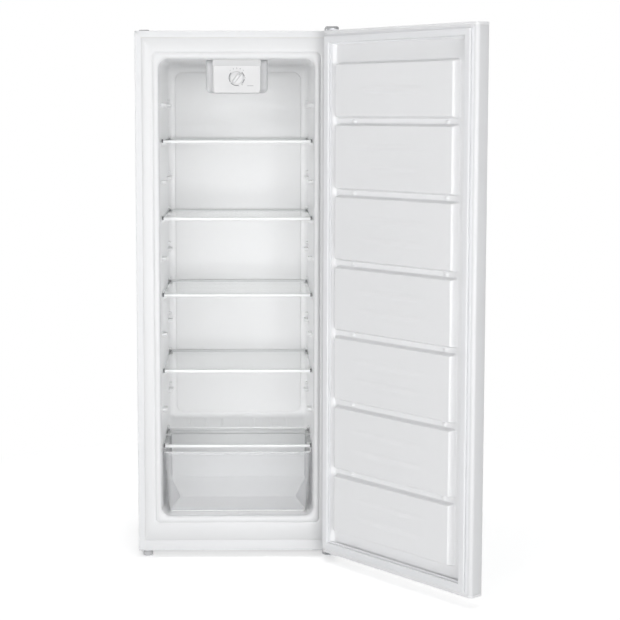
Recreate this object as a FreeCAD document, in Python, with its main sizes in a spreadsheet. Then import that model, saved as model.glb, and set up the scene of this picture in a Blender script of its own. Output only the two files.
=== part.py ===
import FreeCAD, Part
import math
import os
import re

import Sketcher

# Upright freezer, millimetres. +X is to the viewer's right, +Y runs from the door to the back, +Z is up.
# The origin is on the floor, under the middle of the cabinet. The door is drawn standing open.

doc = FreeCAD.newDocument("UprightFreezer")

# ---------------------------------------------------------------------------------------------
# Driving dimensions. Every size that can be chosen by itself is here once.
# ---------------------------------------------------------------------------------------------
SIZES = {
    # cabinet shell
    "cab_width": 550,
    "cab_height": 1434,
    "cab_depth": 496,
    "foot_height": 20,
    "skin": 0.8,
    "front_fold": 18,
    "rear_fold": 12,
    "sill_height": 29,
    # walls between the shell and the compartment
    "side_wall": 65,
    "roof_wall": 76,
    "floor_wall": 98,
    "back_wall": 60,
    # vacuum-formed liner
    "liner_wall": 2,
    "corner_round": 18,
    "bead_width": 18,
    "bead_rise": 2.2,
    "back_pad_side": 21,
    "back_pad_rise": 4,
    "back_pad_foot": 15,
    # step in the liner over the compressor
    "slope_run": 73,
    "slope_gap": 6,
    "slope_rise": 42,
    "slope_lead": 4,
    "step_depth": 145,
    "step_height": 190,
    # compressor bay
    "bay_depth": 160,
    "bay_height": 235,
    "bay_slope": 90,
    "bay_lean": 48,
    "tray_thick": 1.5,
    # shelf supports moulded in the liner
    "first_level": 183,
    "last_level": 116.25,
    "level_count": 10,
    "support_reach": 13,
    "support_height": 8,
    "front_support_start": 76,
    "front_support_length": 48,
    "rear_support_length": 52,
    "rear_support_gap": 14,
    "hook_length": 22,
    "hook_height": 8,
    "hook_reach": 8,
    "hook_gap": 4,
    # glass shelves
    "shelf_count": 5,
    "shelf_front": 60,
    "shelf_side_gap": 2.5,
    "shelf_back_gap": 5.5,
    "glass_thick": 4,
    "trim_height": 8,
    "trim_depth": 11,
    "trim_wall": 1.5,
    "trim_slot_gap": 0.05,
    "rear_trim_depth": 9,
    "rear_trim_inset": 16,
    # drawer
    "drawer_wall": 2.2,
    "drawer_front": 45,
    "drawer_front_lean": 5,
    "drawer_lift": 0.5,
    "drawer_height": 171,
    "drawer_side_gap": 5,
    "drawer_back_gap": 6,
    "drawer_toe_front": 11,
    "drawer_toe_rear": 41,
    "drawer_round": 12,
    "drawer_lip": 9,
    "drawer_lip_thick": 3,
    "drawer_waist": 4,
    "drawer_tail_draft": 2,
    "drawer_rear_taper": 1,
    # thermostat
    "housing_width": 132,
    "housing_height": 91,
    "housing_front": 50,
    "housing_depth": 118,
    "housing_wall": 2,
    "housing_round": 9,
    "housing_slant": 16,
    "dial_drop": 49,
    "dial_radius": 17.5,
    "dial_disc": 5,
    "dial_grip": 9,
    "dial_grip_width": 9,
    "dial_grip_inset": 2,
    "dial_gap": 0.4,
    "shaft_radius": 3,
    "running_gap": 0.06,
    "switch_width": 42,
    "switch_depth": 26,
    "switch_height": 36,
    "shaft_reach": 12,
    # cooling circuit in the foam
    "plate_thick": 1,
    "plate_margin": 14,
    "plate_end_margin": 42,
    "cold_tube_radius": 4,
    "cold_tube_end": 75,
    "cold_tube_rows": 12,
    "warm_tube_radius": 2.5,
    "warm_tube_pitch": 62,
    "warm_tube_rows": 6,
    "warm_end_margin": 36,
    "tube_gap": 0.2,
    # compressor
    "shell_length": 172,
    "shell_width": 118,
    "shell_round": 44,
    "shell_low": 78,
    "shell_high": 82,
    "shell_wall": 3,
    "shell_flange": 5,
    "flange_thick": 3,
    "shell_dome": 24,
    "shell_offset": 20,
    "shell_back_shift": 6,
    "pump_radius": 34,
    "pump_height": 108,
    "mount_length": 236,
    "mount_width": 112,
    "mount_thick": 3,
    "mount_hole_inset": 14,
    "grommet_radius": 10,
    "grommet_height": 14,
    "stud_radius": 3,
    "stud_head_radius": 6.5,
    "stud_head_height": 3.5,
    "relay_length": 30,
    "relay_width": 58,
    "relay_height": 56,
    "relay_round": 4,
    "relay_lift": 6,
    "drier_radius": 9,
    "drier_length": 78,
    "drier_cone": 14,
    "drier_side": 157.5,
    "pipe_radius": 3,
    "pipe_bend": 18,
    "pipe_stand_off": 28,
    "gland_radius": 8,
    "gland_bore": 4,
    "gland_length": 16,
    "gland_taper": 2,
    "gland_stand_off": 17.5,
    # door
    "door_thick": 41.7,
    "door_foot_gap": 5.6,
    "door_head_gap": 1,
    "open_angle": 130,
    "pivot_inset": 16.8,
    "pivot_forward": 32.8,
    "cap_height": 8,
    "cap_round": 2,
    "door_liner_wall": 2,
    "gasket_space": 12,
    "gasket_clear": 0.5,
    "gasket_inset": 15,
    "gasket_width": 20,
    "magnet_width": 8,
    "magnet_thick": 3,
    "recess_inset": 36,
    "recess_head": 30,
    "recess_foot": 27,
    "recess_depth": 10,
    "recess_run": 8,
    "pad_inset_hinge": 58,
    "pad_inset_free": 72,
    "pad_head": 91,
    "pad_foot": 71,
    "pad_rise": 18,
    "pad_side_run": 10,
    "pad_edge_run": 4,
    "pad_count": 7,
    "channel_width": 22,
    "first_channel": 236.4,
    "last_channel": 241,
    # hinges
    "hinge_plate": 3,
    "hinge_arm_in": 17,
    "hinge_arm_out": 15,
    "hinge_nose": 11,
    "hinge_nose_half": 8.5,
    "hinge_shoulder": 4,
    "hinge_reach_back": 46,
    "hinge_wing": 32,
    "hinge_wing_front": 6,
    "pin_radius": 4,
    "pin_engage": 16,
    "pin_head_radius": 7,
    "pin_head_height": 2,
    "bush_radius": 7.5,
    "bush_wall_gap": 0.05,
    "bush_length": 20,
    "screw_radius": 2.5,
    "screw_head_radius": 5,
    "screw_head_height": 2.5,
    "screw_length": 12,
    "screw_first": 14,
    "screw_step": 12,
    "screw_stagger": 7,
    "wing_screw_inset": 10,
    "wing_screw_first": 16,
    "wing_screw_step": 20,
    "cover_height": 13,
    "cover_wall": 2,
    "cover_round": 4,
    "cover_from_front": 2,
    "cover_gap": 1.5,
    "plug_length": 27,
    "plug_width": 20,
    "plug_thick": 3,
    "plug_round": 1.5,
    "plug_inset": 12,
    "plug_from_front": 8,
    "stop_length": 30,
    "stop_width": 22,
    "stop_thick": 3.5,
    "stop_start": 16,
    "stop_step_back": 3,
    # feet
    "foot_radius": 14,
    "foot_neck_radius": 9,
    "foot_pad_height": 12,
    "foot_stud_radius": 5,
    "foot_inset": 24,
    "foot_from_front": 28,
    "foot_stud_rise": 22,
    "foot_well_gap": 3,
    "rear_foot_size": 32,
    "rear_foot_inset": 30,
}

# Places that follow from the driving dimensions.
PLACES = {
    "half_width": "cab_width / 2",
    "front": "-cab_depth / 2",
    "back": "cab_depth / 2",
    "base": "foot_height",
    "top": "foot_height + cab_height",
    # compartment
    "open_half": "half_width - side_wall",
    "open_low": "base + floor_wall",
    "open_high": "top - roof_wall",
    "inner_back": "back - back_wall",
    "step_face": "inner_back - step_depth",
    "step_top": "open_low + step_height",
    "slope_head": "step_face - slope_gap",
    "slope_foot": "slope_head - slope_run",
    "slope_top": "open_low + slope_rise",
    "back_pad_half": "open_half - back_pad_side",
    "level_pitch": "(open_high - open_low - first_level - last_level) / (level_count - 1)",
    # cold plate
    "plate_half": "back_pad_half - plate_margin",
    "plate_low": "step_top + plate_end_margin",
    "plate_high": "open_high - plate_end_margin",
    "cold_tube_pitch": "(plate_high - plate_low - 2 * cold_tube_end) / (cold_tube_rows - 1)",
    # compressor bay
    "bay_front": "back - bay_depth",
    "bay_top": "base + bay_height",
    "bay_toe": "bay_front + bay_lean",
    # shelves
    "shelf_half": "open_half - shelf_side_gap",
    "shelf_nose": "front + shelf_front",
    "shelf_tail": "inner_back - back_pad_rise - shelf_back_gap",
    # drawer
    "drawer_nose": "front + drawer_front",
    "drawer_half": "open_half - drawer_side_gap",
    "drawer_low": "open_low + drawer_lift",
    "drawer_high": "drawer_low + drawer_height",
    "drawer_tail": "step_face - drawer_back_gap",
    # thermostat
    "housing_face": "front + housing_front",
    "housing_foot": "open_high - housing_height",
    "dial_centre": "open_high - dial_drop",
    # hinge line
    "pivot_side": "half_width - pivot_inset",
    "pivot_depth": "front - pivot_forward",
    # the door in its own frame: the pivot is the origin, and the door is shut
    "leaf_hinge": "pivot_inset",
    "leaf_free": "pivot_inset - cab_width",
    "leaf_in": "pivot_forward - gasket_space",
    "leaf_out": "leaf_in - door_thick",
    "leaf_low": "base + door_foot_gap",
    "leaf_high": "top - door_head_gap",
    "channel_pitch": "(leaf_high - leaf_low - first_channel - last_channel) / (pad_count - 2)",
    # compressor stack
    "tray_top": "base + tray_thick",
    "mount_low": "tray_top + grommet_height",
    "mount_high": "mount_low + mount_thick",
    "shell_centre": "back - bay_depth / 2 + shell_back_shift",
    "seam": "mount_high + shell_low",
}


def fill_sheet(name, rows):
    """Make a sheet with one named cell for each row."""
    sheet = doc.addObject("Spreadsheet::Sheet", name)
    for row, (alias, content) in enumerate(rows.items(), start=1):
        sheet.set(f"A{row}", alias)
        sheet.set(f"B{row}", str(content))
        sheet.setAlias(f"B{row}", alias)
    return sheet


def named(text, inside_places=False):
    """Write an expression with each alias led by its sheet's name."""

    def lead(match):
        word = match.group()
        if word in SIZES:
            return "Sizes." + word
        if word in PLACES and not inside_places:
            return "Places." + word
        return word

    return re.sub(r"[a-z_]\w*", lead, str(text))


sizes = fill_sheet("Sizes", SIZES)
places = fill_sheet("Places", {key: "=" + named(text, True) for key, text in PLACES.items()})
doc.recompute()


def value(text):
    """The number that an expression gives now."""
    return float(places.evalExpression(named(text)))


def bind(item, prop, text):
    """Tie a property to an expression."""
    item.setExpression(prop, named(text))


def less(one, other):
    """The expression one - other."""
    return f"({one}) - ({other})"


def plus(one, other):
    """The expression one + other."""
    return f"({one}) + ({other})"


def minus(text):
    """The expression with its sign turned."""
    return f"-({text})"


# ---------------------------------------------------------------------------------------------
# Building blocks
# ---------------------------------------------------------------------------------------------
NODES = {}


def node(label, item):
    """Keep an object as a finished piece."""
    item.Label = label
    NODES[label] = item
    return item


def block(name, x, y, z):
    """A box between two expressions along each axis."""
    item = doc.addObject("Part::Box", name)
    for size, axis, (low, high) in (("Length", "x", x), ("Width", "y", y), ("Height", "z", z)):
        bind(item, size, less(high, low))
        bind(item, f"Placement.Base.{axis}", low)
    return item


def fuse(name, items):
    """One solid from several that touch."""
    item = doc.addObject("Part::MultiFuse", name)
    item.Shapes = items
    item.Refine = True
    return item


def group(name, items):
    """Separate solids kept as one piece."""
    item = doc.addObject("Part::Compound", name)
    item.Links = items
    return item


def cut(name, base, tools):
    """A solid with others taken out of it."""
    item = doc.addObject("Part::Cut", name)
    item.Base = base
    item.Tool = tools[0] if len(tools) == 1 else fuse(name + "_cutters", tools)
    item.Refine = True
    return item


def rounded(name, base, radius, chosen):
    """Round the edges that the test picks."""
    doc.recompute()
    item = doc.addObject("Part::Fillet", name)
    item.Base = base
    size = value(radius)
    item.Edges = [
        (number, size, size)
        for number, edge in enumerate(base.Shape.Edges, start=1)
        if chosen(edge)
    ]
    base.Visibility = False
    return item


def straight_along(edge, axis):
    """Whether a straight edge runs along an axis, given as 0, 1 or 2."""
    if edge.Curve.TypeId != "Part::GeomLine":
        return False
    return abs(edge.tangentAt(edge.FirstParameter)[axis]) > 0.999


def attach(body, role, depth):
    """A sketch on one of the body's own planes, moved along that plane's normal."""
    plane = [item for item in body.Origin.OriginFeatures if item.Role == role][0]
    sketch = body.newObject("Sketcher::SketchObject", body.Name + "_sketch")
    sketch.AttachmentSupport = (plane, [""])
    sketch.MapMode = "FlatFace"
    bind(sketch, "AttachmentOffset.Base.z", depth)
    return sketch


def pin_point(sketch, geometry, position, point):
    """Hold a sketch point at two expressions."""
    for kind, text in zip(("DistanceX", "DistanceY"), point):
        here = sketch.addConstraint(Sketcher.Constraint(kind, geometry, position, value(text)))
        sketch.setExpression(f"Constraints[{here}]", named(text))


def draw_loop(sketch, points):
    """A closed outline of straight lines."""
    first = sketch.GeometryCount
    spots = [FreeCAD.Vector(value(u), value(v), 0) for u, v in points]
    count = len(points)
    for number in range(count):
        sketch.addGeometry(Part.LineSegment(spots[number], spots[(number + 1) % count]))
    for number in range(count):
        after = first + (number + 1) % count
        sketch.addConstraint(Sketcher.Constraint("Coincident", first + number, 2, after, 1))
    for number, point in enumerate(points):
        pin_point(sketch, first + number, 1, point)


def draw_hole(sketch, centre, radius):
    """A circle in an outline."""
    middle = FreeCAD.Vector(value(centre[0]), value(centre[1]), 0)
    ring = sketch.addGeometry(Part.Circle(middle, FreeCAD.Vector(0, 0, 1), value(radius)))
    pin_point(sketch, ring, 3, centre)
    here = sketch.addConstraint(Sketcher.Constraint("Radius", ring, value(radius)))
    sketch.setExpression(f"Constraints[{here}]", named(radius))


def padded(name, role, loops, low, high, holes=()):
    """A body padded between two depths along the normal of a plane."""
    body = doc.addObject("PartDesign::Body", name)
    backward = role == "XZ_Plane"
    sketch = attach(body, role, minus(high) if backward else low)
    for loop in loops:
        draw_loop(sketch, loop)
    for centre, radius in holes:
        draw_hole(sketch, centre, radius)
    pad = body.newObject("PartDesign::Pad", name + "_pad")
    pad.Profile = sketch
    bind(pad, "Length", less(high, low))
    body.Tip = pad
    return body


def turned(name, outline, at):
    """A body turned about a vertical axis, from points of radius and height."""
    body = doc.addObject("PartDesign::Body", name)
    sketch = attach(body, "XZ_Plane", "0")
    draw_loop(sketch, outline)
    revolution = body.newObject("PartDesign::Revolution", name + "_turn")
    revolution.Profile = sketch
    revolution.ReferenceAxis = (sketch, ["V_Axis"])
    revolution.Angle = 360
    body.Tip = revolution
    move(body, at)
    return body


def move(item, at):
    """Place an item at three expressions."""
    for axis, text in zip("xyz", at):
        bind(item, f"Placement.Base.{axis}", text)


def rod(name, radius, low, high, at):
    """An upright cylinder between two heights, at two expressions."""
    item = doc.addObject("Part::Cylinder", name)
    bind(item, "Radius", radius)
    bind(item, "Height", less(high, low))
    move(item, (at[0], at[1], low))
    return item


def frame_loops(x, z, width):
    """The outer and inner rectangles of a flat frame of one width."""
    outer = [(x[0], z[0]), (x[1], z[0]), (x[1], z[1]), (x[0], z[1])]
    inside_x = (plus(x[0], width), less(x[1], width))
    inside_z = (plus(z[0], width), less(z[1], width))
    inner = [(inside_x[0], inside_z[0]), (inside_x[1], inside_z[0]),
             (inside_x[1], inside_z[1]), (inside_x[0], inside_z[1])]
    return [outer, inner]


def tube_along(name, points, bend, radius):
    """A round tube through points, with an arc of one radius at each inner point."""
    edges = []
    start = points[0]
    for before, corner, after in zip(points, points[1:], points[2:]):
        to_before = (before - corner).normalize()
        to_after = (after - corner).normalize()
        half = to_before.getAngle(to_after) / 2
        reach = bend / math.tan(half)
        first = corner + to_before * reach
        last = corner + to_after * reach
        inward = (to_before + to_after).normalize()
        centre = corner + inward * (bend / math.sin(half))
        if (first - start).Length > 1e-6:
            edges.append(Part.LineSegment(start, first).toShape())
        edges.append(Part.Arc(first, centre - inward * bend, last).toShape())
        start = last
    edges.append(Part.LineSegment(start, points[-1]).toShape())
    spine = Part.Wire(edges)
    heading = edges[0].tangentAt(edges[0].FirstParameter)
    ring = Part.Wire(Part.Circle(points[0], heading, radius).toShape())
    item = doc.addObject("Part::Feature", name)
    item.Shape = spine.makePipeShell([ring], True, False)
    return item


# ---------------------------------------------------------------------------------------------
# Cabinet: steel shell
# ---------------------------------------------------------------------------------------------
def side_panel(label, sign):
    """A steel side with a fold round the front edge and one round the back edge."""

    def across(text):
        return text if sign > 0 else minus(text)

    outer = "half_width"
    inner = "half_width - skin"
    loop = [
        (across(outer), "front"),
        (across(outer), "back"),
        (across("half_width - rear_fold"), "back"),
        (across("half_width - rear_fold"), "back - skin"),
        (across(inner), "back - skin"),
        (across(inner), "front + skin"),
        (across("half_width - front_fold"), "front + skin"),
        (across("half_width - front_fold"), "front"),
    ]
    return node(label, padded(label, "XY_Plane", [loop], "base", "top"))


side_panel("side_panel_left", -1)
side_panel("side_panel_right", 1)

top_loop = [
    ("front", "top"),
    ("back - skin", "top"),
    ("back - skin", "top - skin"),
    ("front + skin", "top - skin"),
    ("front + skin", "top - front_fold"),
    ("front", "top - front_fold"),
]
top_sheet = padded("top_sheet", "YZ_Plane", [top_loop], "-(half_width - skin)", "half_width - skin")
top_notches = [
    block(
        f"top_notch_{number}",
        (low, high),
        ("front - skin", "front + skin"),
        ("top - front_fold - skin", "top"),
    )
    for number, (low, high) in enumerate(
        (("half_width - front_fold", "half_width"), ("-half_width", "-(half_width - front_fold)"))
    )
]
top_panel_bare = cut("top_panel_bare", top_sheet, top_notches)

node(
    "back_panel",
    block(
        "back_panel",
        ("-(half_width - rear_fold)", "half_width - rear_fold"),
        ("back - skin", "back"),
        ("bay_top", "top"),
    ),
)

base_loop = [
    ("front", "base"),
    ("bay_front", "base"),
    ("bay_front", "base + skin"),
    ("front + skin", "base + skin"),
    ("front + skin", "base + sill_height"),
    ("front", "base + sill_height"),
]
base_sheet = padded("base_sheet", "YZ_Plane", [base_loop], "-(half_width - skin)", "half_width - skin")
base_notches = [
    block(
        f"base_notch_{number}",
        (low, high),
        ("front - skin", "front + skin"),
        ("base", "base + sill_height + skin"),
    )
    for number, (low, high) in enumerate(
        (("half_width - front_fold", "half_width"), ("-half_width", "-(half_width - front_fold)"))
    )
]
FEET_AT = {
    "left": ("-(half_width - foot_inset)", "front + foot_from_front"),
    "right": ("half_width - foot_inset", "front + foot_from_front"),
}
base_holes = [
    rod(f"base_hole_{side}", "foot_stud_radius + running_gap", "base - skin", "base + 2 * skin", at)
    for side, at in FEET_AT.items()
]
base_plate_bare = cut("base_plate_bare", base_sheet, base_notches + base_holes)

bay_loop = [
    ("bay_front", "base + skin"),
    ("bay_front + skin", "base + skin"),
    ("bay_front + skin", "base + bay_slope"),
    ("bay_toe + skin", "bay_top - skin"),
    ("back", "bay_top - skin"),
    ("back", "bay_top"),
    ("bay_toe", "bay_top"),
    ("bay_front", "base + bay_slope"),
]
node(
    "compressor_bay_panel",
    padded("compressor_bay_panel", "YZ_Plane", [bay_loop],
           "-(half_width - rear_fold)", "half_width - rear_fold"),
)

tray_slab = block(
    "tray_slab",
    ("-(half_width - skin)", "half_width - skin"),
    ("bay_front + skin", "back - skin"),
    ("base", "tray_top"),
)
STUDS_AT = [
    (f"shell_offset + {along} * (mount_length / 2 - mount_hole_inset)",
     f"shell_centre + {across} * (mount_width / 2 - mount_hole_inset)")
    for along in (-1, 1)
    for across in (-1, 1)
]
tray_holes = [
    rod(f"tray_hole_{number}", "stud_radius + running_gap", "base - skin", "tray_top + skin", at)
    for number, at in enumerate(STUDS_AT)
]
node("compressor_tray", cut("compressor_tray", tray_slab, tray_holes))


# ---------------------------------------------------------------------------------------------
# Cabinet: liner and foam
# ---------------------------------------------------------------------------------------------
def cavity(name, grow, mouth_at):
    """The space inside the liner, let out by a distance all round, from its mouth to the back wall."""
    loop = [
        (mouth_at, less("open_low", grow)),
        ("slope_foot", less("open_low", grow)),
        (plus("slope_head", grow), less("slope_top", grow)),
        (plus("step_face", grow), "slope_top + slope_lead"),
        (plus("step_face", grow), less("step_top", grow)),
        (plus("inner_back", grow), less("step_top", grow)),
        (plus("inner_back", grow), plus("open_high", grow)),
        (mouth_at, plus("open_high", grow)),
    ]
    half = plus("open_half", grow)
    hollow = padded(name + "_hollow", "YZ_Plane", [loop], minus(half), half)
    mouth = value(mouth_at) + 1e-3

    def corner(edge):
        """The long corners that run from front to back, and the two at the back wall."""
        side = abs(abs(edge.CenterOfMass.x) - value(half)) < 1e-3
        box = edge.BoundBox
        upright = box.ZLength > value("cab_height") / 2
        level = box.ZLength < 1e-3 and box.ZMin > value("step_top") + 1
        floor = box.ZMax < value("open_low") + 1e-3
        return side and (upright and box.YMin > mouth or box.YLength > 1 and (level or floor))

    return rounded(name, hollow, plus("corner_round", grow), corner)


liner_flange = block(
    "liner_flange",
    ("-(half_width - front_fold)", "half_width - front_fold"),
    ("front", "front + liner_wall"),
    ("base + sill_height", "top - front_fold"),
)
bead_loops = frame_loops(
    ("-(open_half + bead_width)", "open_half + bead_width"),
    ("open_low - bead_width", "open_high + bead_width"),
    "bead_width",
)
liner_bead_bar = padded(
    "liner_bead_bar", "XZ_Plane", bead_loops[:1], "front - bead_rise", "front + liner_wall / 2"
)
liner_bead = rounded(
    "liner_bead",
    liner_bead_bar,
    "corner_round",
    lambda edge: straight_along(edge, 1),
)
liner_body = fuse("liner_body", [cavity("liner_outside", "liner_wall", "front"), liner_flange, liner_bead])
liner_inside = cavity("liner_inside", "0", "front - 2 * bead_rise")


def level_height(number):
    """Where the underside of a shelf lies at a support level."""
    return f"open_low + first_level + {number} * level_pitch - glass_thick / 2"


def support_bars():
    """The short moulded bars that carry a shelf at each level, with a hook over each rear one."""
    bars = []
    bottom = "support_height"
    levels = int(value("level_count"))
    for number in range(levels):
        under = level_height(number)
        tail = "step_face - 2" if number == 0 else "inner_back - rear_support_gap"
        spans = {
            "front": ("front + front_support_start", "front + front_support_start + front_support_length"),
            "rear": (less(tail, "rear_support_length"), tail),
        }
        for sign in (-1, 1):
            wall = "open_half + liner_wall / 2"
            reach = "open_half - support_reach"
            hook = "open_half - hook_reach"
            side_x = (reach, wall) if sign > 0 else (minus(wall), minus(reach))
            hook_x = (hook, wall) if sign > 0 else (minus(wall), minus(hook))
            for place, span in spans.items():
                name = f"support_{place}_{number}_{'right' if sign > 0 else 'left'}"
                bars.append(block(name, side_x, span, (less(under, bottom), under)))
            lift = plus(under, "glass_thick + hook_gap")
            bars.append(
                block(
                    f"hook_{number}_{'right' if sign > 0 else 'left'}",
                    hook_x,
                    (less(tail, "hook_length"), tail),
                    (lift, plus(lift, "hook_height")),
                )
            )
    return bars


back_pad = block(
    "back_pad",
    ("-back_pad_half", "back_pad_half"),
    ("inner_back - back_pad_rise", "inner_back + liner_wall / 2"),
    ("step_top + back_pad_foot", "open_high + liner_wall / 2"),
)
liner_shell = cut("liner_shell", liner_body, [liner_inside])
node("inner_liner", fuse("inner_liner", [liner_shell, back_pad] + support_bars()))


# The evaporator is a flat plate with a looped tube, bonded to the back of the liner inside the foam.
PLATE_X = ("-plate_half", "plate_half")
PLATE_Z = ("plate_low", "plate_high")
plate_front = "inner_back + liner_wall"
plate_back = plus(plate_front, "plate_thick")
node("evaporator_plate", block("evaporator_plate", PLATE_X, (plate_front, plate_back), PLATE_Z))


# Each turn is a little tighter than half the pitch, so that a short straight stays between two turns.
TURN_SHARE = 0.499


def looped_run(rows, pitch, length, place):
    """Corner points of a tube that runs to and fro, rows times."""
    corners = []
    for row in range(rows):
        ends = (-length / 2, length / 2) if row % 2 == 0 else (length / 2, -length / 2)
        corners += [place(end, (row - (rows - 1) / 2) * pitch) for end in ends]
    return corners


def evaporator_tube():
    """The cold tube, flat against its plate."""
    radius = value("cold_tube_radius")
    depth = value(plate_back) + radius
    middle = (value(PLATE_Z[0]) + value(PLATE_Z[1])) / 2
    length = 2 * value(PLATE_X[1]) - 4 * radius
    points = looped_run(
        int(value("cold_tube_rows")),
        value("cold_tube_pitch"),
        length,
        lambda along, up: FreeCAD.Vector(along, depth, middle + up),
    )
    return tube_along("evaporator_tube", points, value("cold_tube_pitch") * TURN_SHARE, radius)


node("evaporator_tube", evaporator_tube())
cold_pocket = block(
    "cold_pocket",
    (less(PLATE_X[0], "tube_gap"), plus(PLATE_X[1], "tube_gap")),
    ("inner_back", "inner_back + liner_wall + plate_thick + 2 * cold_tube_radius + tube_gap"),
    (less(PLATE_Z[0], "tube_gap"), plus(PLATE_Z[1], "tube_gap")),
)

WARM_HALF_HEIGHT = "(cab_height - bay_height) / 2 - warm_end_margin"
WARM_MIDDLE = "(top + bay_top) / 2"


def condenser_tube(name, sign):
    """A warm tube looped behind a side panel."""
    radius = value("warm_tube_radius")
    across = sign * (value("half_width - skin") - radius)
    middle = value(WARM_MIDDLE)
    points = looped_run(
        int(value("warm_tube_rows")),
        value("warm_tube_pitch"),
        2 * value(WARM_HALF_HEIGHT),
        lambda along, depth: FreeCAD.Vector(across, depth, middle + along),
    )
    return tube_along(name, points, value("warm_tube_pitch") * TURN_SHARE, radius)


warm_tubes = [condenser_tube("condenser_tube_left", -1), condenser_tube("condenser_tube_right", 1)]
node("condenser_tubes", group("condenser_tubes", warm_tubes))
WARM_DEPTH = "(warm_tube_rows - 1) / 2 * warm_tube_pitch + warm_tube_radius + tube_gap"
warm_pockets = [
    block(
        f"warm_pocket_{number}",
        span,
        (minus(WARM_DEPTH), WARM_DEPTH),
        (f"{WARM_MIDDLE} - ({WARM_HALF_HEIGHT}) - warm_tube_radius - tube_gap",
         f"{WARM_MIDDLE} + {WARM_HALF_HEIGHT} + warm_tube_radius + tube_gap"),
    )
    for number, span in enumerate(
        (
            ("-half_width", "-(half_width - skin - 2 * warm_tube_radius - tube_gap)"),
            ("half_width - skin - 2 * warm_tube_radius - tube_gap", "half_width"),
        )
    )
]

foam_block = block(
    "foam_block",
    ("-(half_width - skin)", "half_width - skin"),
    ("front + skin", "back - skin"),
    ("base + skin", "top - skin"),
)
bay_hollow_loop = [
    ("bay_front", "base"),
    ("bay_front", "base + bay_slope"),
    ("bay_toe", "bay_top"),
    ("back", "bay_top"),
    ("back", "base"),
]
bay_hollow = padded("bay_hollow", "YZ_Plane", [bay_hollow_loop], "-half_width", "half_width")
foam_flange_cut = block(
    "foam_flange_cut",
    ("-(half_width - front_fold)", "half_width - front_fold"),
    ("front", "front + liner_wall"),
    ("base + sill_height", "top - front_fold"),
)
foot_wells = [
    rod(f"foot_well_{side}", "foot_stud_radius + foot_well_gap", "base",
        "base + foot_stud_rise + foot_well_gap", at)
    for side, at in FEET_AT.items()
]
foam_cavity = cavity("foam_cavity", "liner_wall", "front")
cabinet_foam_bare = cut(
    "cabinet_foam_bare",
    foam_block,
    [foam_cavity, bay_hollow, foam_flange_cut, cold_pocket] + warm_pockets + foot_wells,
)


# ---------------------------------------------------------------------------------------------
# Compressor bay
# ---------------------------------------------------------------------------------------------
def oval(name, grow, z):
    """An upright block with large round corners, at the compressor."""
    item = block(
        name + "_block",
        (f"shell_offset - shell_length / 2 - ({grow})", f"shell_offset + shell_length / 2 + ({grow})"),
        (f"shell_centre - shell_width / 2 - ({grow})", f"shell_centre + shell_width / 2 + ({grow})"),
        z,
    )
    return rounded(name, item, f"shell_round + ({grow})", lambda edge: straight_along(edge, 2))


def shell_half(name, outside, inside, flange, outside_end, inside_end):
    """A pressed half of the compressor's shell, with a flange at the seam and a domed end."""
    outer = rounded(name + "_outer", oval(name + "_oval", "0", outside), "shell_dome",
                    lambda edge: at_height(edge, outside_end))
    inner = rounded(name + "_inner", oval(name + "_hollow", "-shell_wall", inside),
                    "shell_dome - shell_wall", lambda edge: at_height(edge, inside_end))
    body = fuse(name + "_body", [outer, oval(name + "_flange", "shell_flange", flange)])
    return cut(name, body, [inner])


def at_height(edge, text):
    """Whether an edge lies level at a height."""
    box = edge.BoundBox
    return box.ZLength < 1e-3 and abs(box.ZMin - value(text)) < 1e-3


node(
    "compressor_shell_lower",
    shell_half(
        "compressor_shell_lower",
        ("mount_high", "seam"),
        ("mount_high + shell_wall", "seam + 1"),
        ("seam - flange_thick", "seam"),
        "mount_high",
        "mount_high + shell_wall",
    ),
)
node(
    "compressor_shell_upper",
    shell_half(
        "compressor_shell_upper",
        ("seam", "seam + shell_high"),
        ("seam - 1", "seam + shell_high - shell_wall"),
        ("seam", "seam + flange_thick"),
        "seam + shell_high",
        "seam + shell_high - shell_wall",
    ),
)
node(
    "compressor_pump",
    rod(
        "compressor_pump",
        "pump_radius",
        "mount_high + shell_wall",
        "mount_high + shell_wall + pump_height",
        ("shell_offset", "shell_centre"),
    ),
)

mount_slab = block(
    "mount_slab",
    ("shell_offset - mount_length / 2", "shell_offset + mount_length / 2"),
    ("shell_centre - mount_width / 2", "shell_centre + mount_width / 2"),
    ("mount_low", "mount_high"),
)
mount_holes = [
    rod(f"mount_hole_{number}", "stud_radius + running_gap", "mount_low - 1", "mount_high + 1", at)
    for number, at in enumerate(STUDS_AT)
]
node("compressor_mount_plate", cut("compressor_mount_plate", mount_slab, mount_holes))

grommets = []
studs = []
for number, at in enumerate(STUDS_AT):
    bore = "stud_radius + running_gap"
    grommets.append(
        turned(
            f"grommet_{number}",
            [(bore, "0"), ("grommet_radius", "0"), ("grommet_radius", "grommet_height"),
             (bore, "grommet_height")],
            (at[0], at[1], "tray_top"),
        )
    )
    stack = "tray_thick + grommet_height + mount_thick"
    studs.append(
        turned(
            f"mount_stud_{number}",
            [("0", "0"), ("stud_radius", "0"), ("stud_radius", stack), ("stud_head_radius", stack),
             ("stud_head_radius", f"{stack} + stud_head_height"), ("0", f"{stack} + stud_head_height")],
            (at[0], at[1], "base"),
        )
    )
node("compressor_grommets", group("compressor_grommets", grommets))
node("compressor_studs", group("compressor_studs", studs))

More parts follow.
